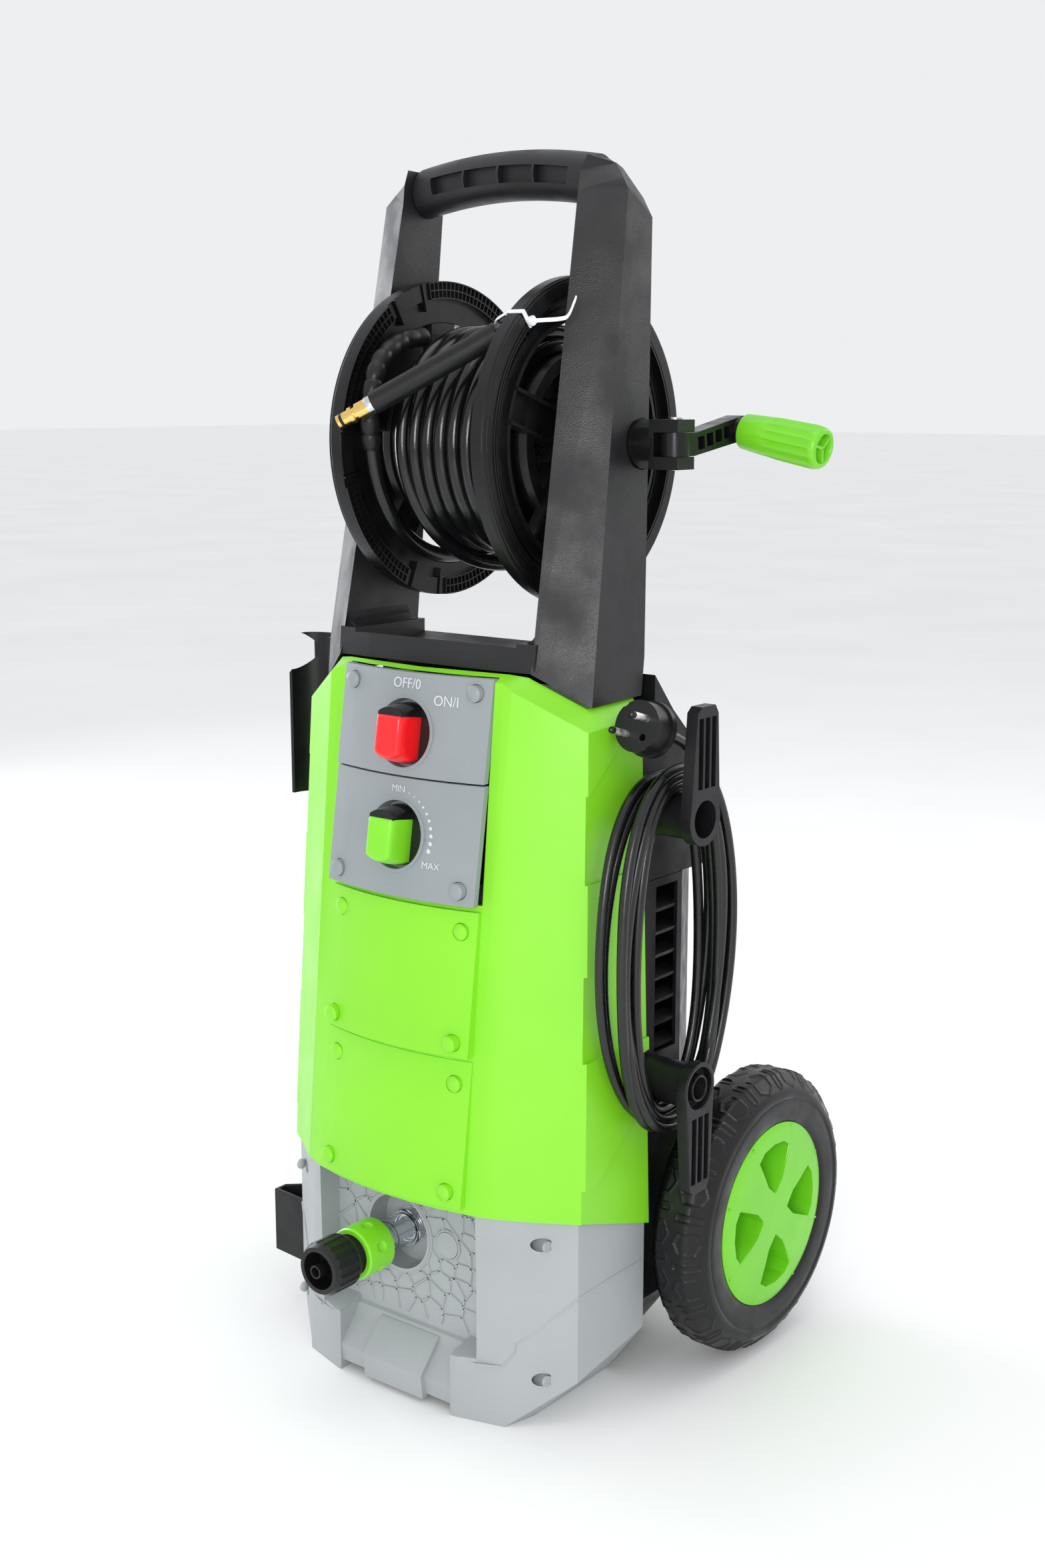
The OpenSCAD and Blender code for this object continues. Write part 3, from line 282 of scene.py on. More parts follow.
def smooth_route(points, steps):
    """Catmull-Rom points between the given ones."""
    p = [Vector(q) for q in points]
    out = []
    for i in range(len(p) - 1):
        a, b, c, d = p[max(i - 1, 0)], p[i], p[i + 1], p[min(i + 2, len(p) - 1)]
        for s in range(steps):
            t = s / steps
            out.append(0.5 * (2 * b + (c - a) * t + (2 * a - 5 * b + 4 * c - d) * t * t
                              + (3 * b - a - 3 * c + d) * t ** 3))
    return out + [p[-1]]


def carried_rings(line, radii, sides):
    """Rings of points round a line, turning as little as they can."""
    rings, side = [], None
    for i, p in enumerate(line):
        d = (line[min(i + 1, len(line) - 1)] - line[max(i - 1, 0)]).normalized()
        if side is None:
            side = d.cross(Vector((0, 0, 1)) if abs(d.z) < 0.9 else Vector((1, 0, 0)))
        side = (side - side.dot(d) * d).normalized()
        up = d.cross(side)
        rings += [p + radii[i] * (math.cos(a) * side + math.sin(a) * up)
                  for a in (2 * math.pi * k / sides for k in range(sides))]
    return rings


def tube(name, line, radii, look, body, sides=20):
    """A closed tube along a line, its radius changing from point to point."""
    points = carried_rings(line, radii, sides)
    faces = grid_faces(len(line), sides, wrap=True)
    last = (len(line) - 1) * sides
    faces += [tuple(range(sides))[::-1], tuple(range(last, last + sides))]
    return piece(name, points, faces, look, body)


def eased(t):
    """Runs from 0 to 1 with no kink at either end."""
    t = max(0.0, min(1.0, t))
    return t * t * (3 - 2 * t)


def cord_curve(name, line, diameter, look, body):
    """A round cord as one open spline."""
    data = bpy.data.curves.new(name, "CURVE")
    data.dimensions = "3D"
    data.bevel_depth = diameter / 2
    data.bevel_resolution = 4
    data.resolution_u = 3
    data.use_fill_caps = True
    spline = data.splines.new("NURBS")
    spline.points.add(len(line) - 1)
    for p, q in zip(spline.points, line):
        p.co = (*q, 1)
    spline.order_u = 4
    spline.use_endpoint_u = True
    data.materials.append(MATERIALS[look])
    o = bpy.data.objects.new(name, data)
    SCENE.collection.objects.link(o)
    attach(o, body)
    return o


# ---------------------------------------------------------------- mains lead
CORD_D = 7.5 * MM
HANK_CENTRE = Vector((0, -11, 345)) * MM
HANK_COLUMNS = [164 * MM, 156 * MM, 148 * MM]
HANK_HALF_HEIGHT = 121 * MM
HANK_TURNS = 7
FRONT_WIDTHS = [53, 60, 68, 75, 56, 64, 72, 77, 60]      # half width of each turn in mm, towards the front
REAR_WIDTHS = [57, 66, 53, 62, 73, 55, 69, 60, 60]       # and towards the rear
PLUG_BACK = Vector((154, -19.3, 502.6)) * MM


HANK_TOP_TURN = 8         # no turn starts a column past this one
LAYER_LIFT = 6.2 * MM     # how much higher each layer of the hank rides on the hooks
LEAD_START = [(131, 20, 232), (138, 20, 232.6), (146, 22, 235.5), (155, 27, 243), (161, 33, 252)]
LEAD_END = [(157, 45, 449), (155, 33, 470), (154, 16, 487), (154, -2, 497.3)]
HANK_FIRST, HANK_LAST = 133, 56        # degrees from the top towards the rear
STEPS_PER_TURN = 34


def hank_column(turn):
    """Column and layer of a turn: across, then back across the next layer."""
    layer, along = divmod(min(int(turn), HANK_TOP_TURN), 3)
    return HANK_COLUMNS[along if layer % 2 == 0 else 2 - along], layer * LAYER_LIFT


def hank_point(angle, turn):
    """A point of the hank, angle measured from the top towards the rear."""
    t = turn % 1
    blend = eased((t - 0.62) / 0.3)
    (x0, h0), (x1, h1) = hank_column(turn), hank_column(turn + 1)
    k = min(int(turn + 0.13), 7)
    s, c = math.sin(angle), math.cos(angle)
    wide = (REAR_WIDTHS if s > 0 else FRONT_WIDTHS)[k]
    fan = wide + 3.5 * math.sin(2.1 * k + 1) * c
    y = math.copysign(abs(s) ** 0.8, s) * fan * MM
    sway = 1.6 * math.sin(2.3 * k + 2.2 * c) * s * s * MM
    return Vector((x0 + (x1 - x0) * blend + sway, HANK_CENTRE.y + y,
                   HANK_CENTRE.z + (HANK_HALF_HEIGHT + h0 + (h1 - h0) * blend) * c))


def make_mains_lead():
    """From the housing, round both hooks, up to the plug."""
    start = [Vector(p) * MM for p in LEAD_START]
    first, last = math.radians(HANK_FIRST), math.radians(HANK_LAST - 360 * HANK_TURNS)
    steps = STEPS_PER_TURN * (HANK_TURNS + 1)
    loops = []
    for i in range(steps + 1):
        angle = first + (last - first) * i / steps
        loops.append(hank_point(angle, (first - angle) / (2 * math.pi)))
    end = [Vector(p) * MM for p in LEAD_END]
    line = start + loops + end + [PLUG_BACK]
    lead = cord_curve("mains_lead", line, CORD_D, "cord", "body")
    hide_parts("cord_lead", "cord_hank", "cord_end_run")
    relief_line = smooth_route(start[:4], 8)
    n = len(relief_line)
    radii = [(6.6 - 2.4 * i / (n - 1)) * MM - (0.5 * MM if i % 3 == 2 else 0) for i in range(n)]
    relief = tube("lead_strain_relief", relief_line, radii, "cord", "body")
    return lead, relief


# ---------------------------------------------------------------- hose
HOSE_D = 11.5 * MM
REEL_HEIGHT = 701
REEL_Z = REEL_HEIGHT * MM
GUARD_ROUTE = [(-50, -36, 776), (-49, -62, 772), (-46, -88, 758),
               (-44, -99, 738), (-45, -101, 716), (-49, -95, 697)]
END_ROUTE = [(16, 94, 705), (26, 84, 752), (40, 42, 791), (50, -10, 797), (52, -46, 790), (50, -74, 776)]
SLEEVE_END = (-30, -113, 729)
INNER_TURNS = 9
OUTER_TURNS = 7
LOOSE_TURNS = 1           # of which half a turn is wound, to where the end leaves the drum
INNER_RADIUS = 67.9
OUTER_RADIUS = 78.2
LAYER_STEP = 10.3
WINDING_END = 49.5        # where the winding turns back along the drum
TURN_PITCH = 12.1
GUARD_BEADS = 10


def reel_point(angle, radius, x):
    """Angle from the rear, over the top, to the front."""
    return Vector((x, radius * math.cos(angle), REEL_Z + radius * math.sin(angle)))


def hose_line():
    """From the kink guard, along the drum and back, over to the loose end in its sleeve."""
    line = smooth_route([Vector(p) * MM for p in GUARD_ROUTE], 4)
    start_angle = math.pi + math.atan2(4, 95)
    turns = INNER_TURNS + OUTER_TURNS + LOOSE_TURNS - 0.5
    steps = int(30 * turns)
    for i in range(1, steps + 1):
        t = turns * i / steps
        if t < INNER_TURNS:
            x = -WINDING_END + 2 * WINDING_END * t / INNER_TURNS
            radius = INNER_RADIUS + 27 * (1 - eased(t / 0.6))
        elif t < INNER_TURNS + OUTER_TURNS:
            s = t - INNER_TURNS
            x = WINDING_END - TURN_PITCH * s
            radius = INNER_RADIUS + LAYER_STEP * eased(s / 0.4)
        else:
            s = (t - INNER_TURNS - OUTER_TURNS) / (LOOSE_TURNS - 0.5)
            x = WINDING_END - TURN_PITCH * OUTER_TURNS + 50 * eased(s)
            radius = OUTER_RADIUS + 14.5 * eased(s * 1.6)
        wobble = 1.0 * math.sin(1.7 * t) * math.sin(2 * math.pi * t)
        line.append(reel_point(start_angle + 2 * math.pi * t, radius * MM, (x + wobble) * MM))
    end = smooth_route([Vector(p) * MM for p in END_ROUTE], 4)
    sleeve = [end[-1].lerp(Vector(SLEEVE_END) * MM, k) for k in (0.12, 0.3, 0.6, 0.96)]
    return line + end[1:] + sleeve


def make_hose():
    """The wound hose, and the beaded guard round its first bend."""
    hose = cord_curve("pressure_hose", hose_line(), HOSE_D, "hose", "reel")
    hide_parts("hose_coil", "hose_end_run")
    fine = smooth_route([Vector(p) * MM for p in GUARD_ROUTE], 14)
    lengths = [0.0]
    for a, b in zip(fine, fine[1:]):
        lengths.append(lengths[-1] + (b - a).length)
    radii = []
    for s in lengths:
        t = (s / lengths[-1] * GUARD_BEADS) % 1
        radii.append((5.9 + 1.3 * math.sqrt(max(0.0, 1 - (2 * t - 1) ** 2)) - 0.5 * t) * MM)
    beaded = tube("kink_guard", fine, radii, "sleeve", "reel", 24)
    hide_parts("hose_kink_guard")
    return hose, beaded


# ---------------------------------------------------------------- detail helpers
class Build:
    """Points and faces gathered for one piece."""

    def __init__(self):
        self.points, self.faces = [], []

    def add(self, points, faces):
        n = len(self.points)
        self.points += [tuple(p) for p in points]
        self.faces += [tuple(n + k for k in f) for f in faces]

    def loft(self, rings, columns, closed=False):
        flat = [p for ring in rings for p in ring]
        faces = grid_faces(len(rings), columns, wrap=True, close=closed)
        if not closed:
            last = (len(rings) - 1) * columns
            faces += [tuple(range(columns))[::-1], tuple(range(last, last + columns))]
        self.add(flat, faces)

    def piece(self, name, look, body, slot, smooth=True):
        return piece(name, [Vector(p) * MM for p in self.points], self.faces, look, body, smooth)


def rail_mm(build, line, radius, sides=8):
    """A thin round rail, in millimetres."""
    line = [Vector(p) for p in line]
    flat = carried_rings(line, [radius] * len(line), sides)
    build.loft([flat[i * sides:(i + 1) * sides] for i in range(len(line))], sides)


def turned(build, to_world, profile, columns, shape=None):
    """Turns (axial, radius) points round an axis; shape changes the radius by ring and angle."""
    rings = []
    for row, (a, r) in enumerate(profile):
        ring = []
        for k in range(columns):
            phi = 2 * math.pi * k / columns
            radius = r - (shape(row, a, phi) if shape else 0)
            ring.append(to_world(radius * math.cos(phi), radius * math.sin(phi), a))
        rings.append(ring)
    build.loft(rings, columns)


# ---------------------------------------------------------------- wheels
AXLE = Vector((0, 98, 111))
TREAD_PROFILE = [(161, 110.2), (171.5, 110.0), (174, 109.2), (183.4, 99.6), (185.5, 96.2), (186, 92.8),
                 (185.3, 91.4), (185.0, 90.4), (185.4, 89.6), (185.2, 82), (184.2, 74.5), (182.5, 72.3)]
TREAD_EDGE = 13.2         # distance along the profile to the tread's edge
TREAD_PITCH = 36          # hexagons and slots round the tyre, in turn
TREAD_COLUMNS = 720
WHEEL_MIDDLE = 161        # the tyre's middle plane, from the machine's middle
WHEEL_FACE = 186
SPOKE_POCKET = [(-29, 64), (-22.5, 50), (-11, 26), (-5, 19), (0, 17), (5, 19), (11, 26), (22.5, 50), (29, 64)]


def resampled(profile, step):
    """Profile points at most a step apart, with the distance along it."""
    out, s = [(profile[0], 0.0)], 0.0
    for (x0, r0), (x1, r1) in zip(profile, profile[1:]):
        d = math.hypot(x1 - x0, r1 - r0)
        n = max(1, math.ceil(d / (step if r1 > 91 else 4)))
        for k in range(1, n + 1):
            out.append(((x0 + (x1 - x0) * k / n, r0 + (r1 - r0) * k / n), s + d * k / n))
        s += d
    return out


def edge_step(value, width):
    """From 1 below zero to 0 above it, across a width."""
    return eased(0.5 - value / width)


def tread_relief(s, phi):
    """Raised outlines of hexagons and of round-ended slots, sunken inside them."""
    cell = phi / (2 * math.pi) * TREAD_PITCH
    index, u = math.floor(cell), (cell % 1 - 0.5) * 2 * math.pi * 107 / TREAD_PITCH
    v = s - TREAD_EDGE
    if index % 2:
        f = max(abs(u) / 8.2, (abs(v - 1) + 0.55 * abs(u)) / 11.5)
        inside, band = (f - 1) * 8, abs((f - 1) * 8) - 0.75
    else:
        d = math.hypot(max(abs(v - 1) - 9, 0), u) - 2.6
        inside, band = d, abs(d) - 0.7
    return 0.85 * edge_step(band, 0.8) - 0.5 * edge_step(inside, 0.8)


def make_tyre(side):
    """The whole tyre as one closed surface, its tread raised from the profile."""
    half = resampled(TREAD_PROFILE, 1.0)
    full = [((2 * WHEEL_MIDDLE - x, r), s) for (x, r), s in half[:0:-1]] + half
    rings = []
    for (x, r), s in full:
        ring = []
        for k in range(TREAD_COLUMNS):
            phi = 2 * math.pi * k / TREAD_COLUMNS
            lift = tread_relief(s, phi + (0.05 if x < WHEEL_MIDDLE else 0)) if r > 93 else 0.0
            slant = eased((s - TREAD_EDGE) / 2)
            radius = r + lift * (1 - 0.3 * slant)
            across = x + math.copysign(0.6 * lift * slant, x - WHEEL_MIDDLE)
            ring.append((side * min(across, WHEEL_FACE) + 0.0, AXLE.y + radius * math.cos(phi),
                         AXLE.z + radius * math.sin(phi)))
        rings.append(ring)
    build = Build()
    build.loft(rings, TREAD_COLUMNS, closed=True)
    body = "wheel_right" if side > 0 else "wheel_left"
    tyre = build.piece("tread_right" if side > 0 else "tread_left", "tyre", body, "tyre_rubber")
    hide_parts("tyre_right" if side > 0 else "tyre_left")


def make_spoke_ridges(side):
    """Raised edges of the hub's X, round each of its four pockets."""
    build = Build()
    for quarter in range(4):
        a = math.radians(90 * quarter + 3)
        line = []
        for y, z in SPOKE_POCKET:
            x = WHEEL_FACE if math.hypot(y, z) < 41 else WHEEL_FACE - (math.hypot(y, z) - 41) * 0.035
            line.append((side * (x - 1.0), AXLE.y + y * math.cos(a) - z * math.sin(a),
                         AXLE.z + y * math.sin(a) + z * math.cos(a)))
        rail_mm(build, smooth_route(line, 4), 0.95)
    build.piece("hub_ridges_right" if side > 0 else "hub_ridges_left", "hub_green",
                "wheel_right" if side > 0 else "wheel_left", "hub_green")


# ---------------------------------------------------------------- base
RELIEF_BOX = (-75.5, 54.5, 75.5, 159)       # x and z of the recessed front that the relief covers
RELIEF_ROUND = [(-14, 117, 32.3), (34, 119, 11)]        # round bosses that the cell pattern leaves free
RELIEF_RINGS = [(-14, 117, 31.9), (34, 119, 11.2)]      # raised rings round them
RECESS_Y = -115
CELL_ROWS, CELL_COLUMNS, CELL_JITTER = 8, 10, 0.42
BEAD_LINE = [(77, -136.3, 46.5), (86, -132.4, 46.7), (95.6, -128.2, 47.5), (102.6, -122.7, 58.6),
             (102.8, -122.5, 64.6), (115.7, -111.9, 76), (137.8, -94.1, 99.2), (138, -92, 99.6),
             (138, -52, 100.8), (138, -16, 100.6)]


def clipped(polygon, middle, normal, label):
    """The part of a labelled polygon on the inner side of a line."""
    out = []
    for k, (p, mark) in enumerate(polygon):
        q = polygon[(k + 1) % len(polygon)][0]
        dp, dq = (p - middle).dot(normal), (q - middle).dot(normal)
        if dp <= 0:
            out.append((p, mark))
        if dp * dq < 0:
            out.append((p + (q - p) * (dp / (dp - dq)), label if dp <= 0 else mark))
    return out


def cell_edges():
    """Edges between irregular cells spread over the recess."""
    rng = random.Random(11)
    x0, z0, x1, z1 = RELIEF_BOX
    seeds = []
    for row in range(CELL_ROWS):
        for column in range(CELL_COLUMNS):
            x = column + 0.5 + rng.uniform(-CELL_JITTER, CELL_JITTER)
            z = row + 0.5 + rng.uniform(-CELL_JITTER, CELL_JITTER)
            seeds.append(Vector((x0 + x * (x1 - x0) / CELL_COLUMNS, z0 + z * (z1 - z0) / CELL_ROWS)))
    edges = []
    for i, seed in enumerate(seeds):
        cell = [(Vector(c), -1) for c in ((x0, z0), (x1, z0), (x1, z1), (x0, z1))]
        for j, other in enumerate(seeds):
            if j != i and (other - seed).length < 60:
                cell = clipped(cell, (seed + other) / 2, other - seed, j)
        for k, (p, mark) in enumerate(cell):
            if mark > i:
                edges.append((p, cell[(k + 1) % len(cell)][0]))
    return edges


def kept_runs(a, b):
    """Parts of an edge that stay outside the round bosses."""
    n = max(2, int((b - a).length / 0.8))
    run, runs = [], []
    for k in range(n + 1):
        p = a + (b - a) * (k / n)
        if all((p - Vector((x, z))).length > r for x, z, r in RELIEF_ROUND):
            run.append(p)
        else:
            runs.append(run)
            run = []
    return [r for r in runs + [run] if len(r) > 1]


def ridge_bar(build, a, b, y, height=1.3):
    """A low bar with sloping flanks standing on a wall that faces -Y."""
    along = (b - a).normalized()
    side = Vector((-along.y, along.x))
    a, b = a - along * 0.5, b + along * 0.5
    points = []
    for end in (a, b):
        for w, d in ((-1.15, 0.2), (-0.55, -height), (0.55, -height), (1.15, 0.2)):
            p = end + side * w
            points.append((p.x, y + d, p.y))
    build.add(points, [(0, 1, 5, 4), (1, 2, 6, 5), (2, 3, 7, 6), (3, 0, 4, 7), (0, 3, 2, 1), (4, 5, 6, 7)])


def make_base_relief():
    """The cell pattern round the inlet, and the raised bead along the base's seam on each side."""
    build = Build()
    for a, b in cell_edges():
        for run in kept_runs(a, b):
            ridge_bar(build, run[0], run[-1], RECESS_Y)
    for x, z, r in RELIEF_RINGS:
        turns = [math.tau * k / 64 for k in range(65)]
        ring = [(x + r * math.cos(t), RECESS_Y - 0.6, z + r * math.sin(t)) for t in turns]
        rail_mm(build, [p for p in ring if p[2] < RELIEF_BOX[3]], 1.0)
    build.piece("recess_relief", "grey", "body", "housing_grey", smooth=False)
    beads = Build()
    for side in (1, -1):
        rail_mm(beads, [(side * x, y, z) for x, y, z in BEAD_LINE], 0.95)
    beads.piece("base_beads", "grey", "body", "housing_grey")


# ---------------------------------------------------------------- dials
# height and place of each panel's lower and upper edge
PANELS = {"switch": (470, -124.5, 542.5, -113), "pressure": (384.5, -136.5, 468.5, -123.5)}
PANEL_TILT = math.radians(81)
DIAL_WORDS = [("switch_mark_off", "OFF/0", "switch", -0.5, 534.5, 7.4, 25),
              ("switch_mark_on", "ON/I", "switch", 35, 524.5, 7.4, 20),
              ("pressure_mark_low", "MIN", "pressure", -0.5, 460.3, 4.9, 11.5),
              ("pressure_mark_high", "MAX", "pressure", 33.5, 409.5, 4.9, 14.5)]
DOTS, DOT_ARC, DOT_SIDES = 10, 31.5, 14
KNOB_CENTRES = {"power": (-120, 500), "pressure": (-130.5, 428)}       # y and z


def on_panel(which, x, z, proud=0.0):
    """A point on the bowed, leaning panel."""
    z0, y0, z1, y1 = PANELS[which]
    return Vector((x, y0 + (y1 - y0) * (z - z0) / (z1 - z0) + x * x / 500 - proud, z))


def dial_word(name, words, which, x, z, height, width):
    """Raised dial lettering, squeezed to its width and laid on the bowed panel."""
    data = bpy.data.curves.new(name, "FONT")
    data.body = words
    data.size = height / 0.7 * MM
    data.align_x = data.align_y = "CENTER"
    data.extrude = 0.35 * MM
    data.offset = -0.006 * height * MM
    data.resolution_u = 3
    data.materials.append(MATERIALS["marks"])
    o = bpy.data.objects.new(name, data)
    SCENE.collection.objects.link(o)
    bpy.context.view_layer.update()
    o.scale.x = width * MM / max(o.dimensions.x, 0.001)
    o.location = on_panel(which, x, z, 0.1) * MM
    o.rotation_euler = (PANEL_TILT, 0, math.atan(x / 250))
    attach(o, "body")


def make_dial_marks():
    """Generic dial words, and the arc of dots that grow from MIN to MAX."""
    for word in DIAL_WORDS:
        dial_word(*word)
    build = Build()
    for k in range(DOTS):
        turn = math.radians(17 + 9.8 * k)
        x, z = DOT_ARC * math.sin(turn), KNOB_CENTRES["pressure"][1] + DOT_ARC * math.cos(turn)
        r = 0.55 + 0.15 * k
        centre = on_panel("pressure", x, z, -0.15)
        rings = []
        for tall in (0.0, 0.5, 0.85, 1.0):
            w = r * math.sqrt(1 - tall * tall * 0.97)
            rings.append([centre + Vector((w * math.cos(a), -tall * (0.35 + 0.3 * r), w * math.sin(a)))
                          for a in (math.tau * i / DOT_SIDES for i in range(DOT_SIDES))])
        build.loft(rings, DOT_SIDES)
    build.piece("pressure_mark_dots", "marks", "body", "panel_grey")


# level along the knob's axis, half width, lower radius, upper edge
INSERT_LEVELS = [(-8.8, 11.5, 21.8, 12.6), (2, 11.4, 21.4, 12.6), (9, 11.4, 20.4, 12.5),
                 (14, 11.4, 19.2, 12.3), (16.2, 11.1, 18.6, 12.0), (17.4, 10.2, 17.6, 11.2),
                 (18.1, 8.8, 16.2, 9.8), (18.3, 6.8, 14.2, 7.6)]
INSERT_CORNER = 1.5


def insert_section(half, radius, top):
    """Outline of the grip insert: round below, like the knob, with rounded upper corners."""
    points = [(x, -math.sqrt(radius * radius - x * x)) for x in (half * (k / 8 - 1) for k in range(17))]
    for side, start in ((1, 0), (-1, 90)):
        for k in range(6):
            a = math.radians(start + 18 * k)
            points.append((side * (half - INSERT_CORNER) + INSERT_CORNER * math.cos(a),
                           top - INSERT_CORNER + INSERT_CORNER * math.sin(a)))
    return points


def make_knob_insert(name, look, slot):
    y0, z0 = KNOB_CENTRES[name]
    c, s = math.cos(PANEL_TILT), math.sin(PANEL_TILT)
    build = Build()
    build.loft([[(x, y0 + b * c - z * s, z0 + b * s + z * c) for x, b in insert_section(half, radius, top)]
                for z, half, radius, top in INSERT_LEVELS], 29)
    insert = build.piece(name + "_grip_insert", look, name + "_knob", slot)
    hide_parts(name + "_knob_insert")


# ---------------------------------------------------------------- reel
SEGMENTS, SEGMENT_ANGLE = 5, 72
POCKETS, POCKET_ANGLE = 20, 2.4        # pockets in a row of one segment, and the angle of each
POCKET_ROWS = ((103.3, 104.2), (109.1, 110.0), (115.0, 115.9))       # radii of the ridges between the rows
FLANGE_INNER = -60.5      # the far flange's inner face, which the pockets stand on


def reel_world(a, b, x):
    """Radial components towards the front and up, and the place along X."""
    return Vector((x, -a, REEL_HEIGHT + b))


def arc_bar(build, start, end, r0, r1, x0, x1, step=2.4):
    """A curved bar round the reel's axis, angles in degrees from straight ahead, upwards."""
    n = max(1, round(abs(end - start) / step))
    rings = []
    for k in range(n + 1):
        a = math.radians(start + (end - start) * k / n)
        rings.append([reel_world(r * math.cos(a), r * math.sin(a), x)
                      for r, x in ((r0, x0), (r0, x1), (r1, x1), (r1, x0))])
    build.loft(rings, 4)


def make_flange_teeth():
    """Rows of small pockets round the far flange's inner face, in arcs, and ridges on both outer faces."""
    build = Build()
    for segment in range(SEGMENTS):
        start = segment * SEGMENT_ANGLE + 8
        for r0, r1 in POCKET_ROWS:
            arc_bar(build, start, start + 48, r0, r1, FLANGE_INNER, -58.1)
        for k in range(POCKETS + 1):
            a = start + POCKET_ANGLE * k
            arc_bar(build, a - 0.2, a + 0.2, 104, 115.4, FLANGE_INNER, -58.3)
        arc_bar(build, start + 53, start + 67, 103.6, 115.6, FLANGE_INNER, -59.2)
        arc_bar(build, start + 51.5, start + 52.3, 96, 115.8, -62.5, -58.0)
        arc_bar(build, start + 67.7, start + 68.5, 96, 115.8, -62.5, -58.0)
    build.piece("flange_pockets", "reel", "reel", "reel_black", smooth=False)
    rings = Build()
    for side in (1, -1):
        for r, w in ((114.2, 0.9), (106, 0.8), (103.6, 0.7)):
            arc_bar(rings, 0, 360, r - w, r + w, side * 71.5, side * (72.6 if r < 110 else 69.5), 3)
        arc_bar(rings, 0, 360, 95, 96, side * 65.5, side * 67.2, 3)
    rings.piece("flange_ridges", "reel", "reel", "reel_black")


# ---------------------------------------------------------------- crank
GRIP_ROOT = (147, 72, 711)
GRIP_FROM_UP = math.radians(100)
GRIP_START = 11           # where the grip begins along its axis
FLUTED_ROWS = 15          # rows of the profile on the outside, the rest turn into the hollow end
GRIP_PROFILE = [(0, 4.8), (0, 11.2), (0.6, 12.1), (1.4, 12.5), (10, 13.2), (20, 13.9), (23, 14.05),
                (26, 14.2), (30, 14.5), (38, 14.7), (46, 14.9), (54, 15.1), (57, 15.2), (60, 15.1),
                (62, 14.9), (64, 14.4), (65.4, 13.6), (66, 12.6), (66, 10.7), (65.6, 10.4), (61, 10.2),
                (61, 1.0)]


def grip_world(a, b, along):
    """The grip's own frame: its axis droops ten degrees from +X."""
    c, s = math.cos(GRIP_FROM_UP), math.sin(GRIP_FROM_UP)
    x, y, z = GRIP_ROOT
    return Vector((x + along * s + a * c, y + b, z + along * c - a * s))


def flutes(row, along, phi):
    """How deep the grip's flutes go: none at its ends."""
    if row > FLUTED_ROWS:
        return 0
    depth = eased((along - 20) / 7) * eased((63 - along) / 4)
    return 1.0 * depth * abs(math.sin(8 * phi)) ** 0.6 - 0.2 * depth


def make_crank_grip():
    """The fluted grip, with three webs in its hollow end."""
    build = Build()
    turned(build, lambda a, b, z: grip_world(a, b, z + GRIP_START), GRIP_PROFILE, 192, flutes)
    for k in range(3):
        t = math.tau * k / 3 + 0.3
        u, v = Vector((math.cos(t), math.sin(t))), Vector((-math.sin(t), math.cos(t)))
        corners = [u * p + v * q for p, q in ((0, -1.0), (10.6, -1.0), (10.6, 1.0), (0, 1.0))]
        build.loft([[grip_world(c.x, c.y, GRIP_START + z) for c in corners] for z in (60.5, 65.2)], 4)
    grip = build.piece("fluted_grip", "hub_green", "crank_grip", "hub_green")
    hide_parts("crank_grip")


# ---------------------------------------------------------------- cable tie
TIE_ANGLE = math.radians(40)
# what the tie is drawn round, the sleeve and the rim's corners: (x, distance from the reel's axis), radius
TIE_ROUNDS = [((50.9, 104), 7.45), ((60, 103.8), 0.95), ((60, 115.2), 0.95), ((71.7, 115.2), 0.95),
              ((71.7, 104), 0.95)]
TIE_HEAD = [(73, 0, 107), (73.8, 0.2, 107.3), (77, 0.6, 107.8), (77.6, 0.7, 107.9)]
TIE_TAIL = [(0, 0, 0), (7, 5.5, 0.6), (14, 11, 1.2), (18.5, 15, 3.2), (21.5, 18, 12), (22.5, 19, 16)]
STRAP_SECTION = ((-1, -0.6), (-0.8, -1), (0.8, -1), (1, -0.6), (1, 0.6), (0.8, 1), (-0.8, 1), (-1, 0.6))


def tie_world(x, across, r):
    """The plane of the tie: across it, and out from the reel's axis, up and to the front."""
    c, s = math.cos(TIE_ANGLE), math.sin(TIE_ANGLE)
    return Vector((x, across * c - r * s, REEL_HEIGHT + across * s + r * c))


def convex(points):
    """The outline drawn tight round a set of points in a plane."""
    points = sorted(points)
    halves = []
    for order in (points, points[::-1]):
        half = []
        for p in order:
            while len(half) > 1 and ((half[-1][0] - half[-2][0]) * (p[1] - half[-2][1])
                                     - (half[-1][1] - half[-2][1]) * (p[0] - half[-2][0])) <= 0:
                half.pop()
            half.append(p)
        halves += half[:-1]
    return halves


def strap(build, middle, lateral, width, thick):
    """A flat strap along world points, its width lying along the lateral direction."""
    rings = []
    for i, p in enumerate(middle):
        d = (middle[min(i + 1, len(middle) - 1)] - middle[max(i - 1, 0)]).normalized()
        out = d.cross(lateral).normalized()
        rings.append([p + lateral * (w * width[i] / 2) + out * (t * thick / 2) for w, t in STRAP_SECTION])
    build.loft(rings, len(STRAP_SECTION))


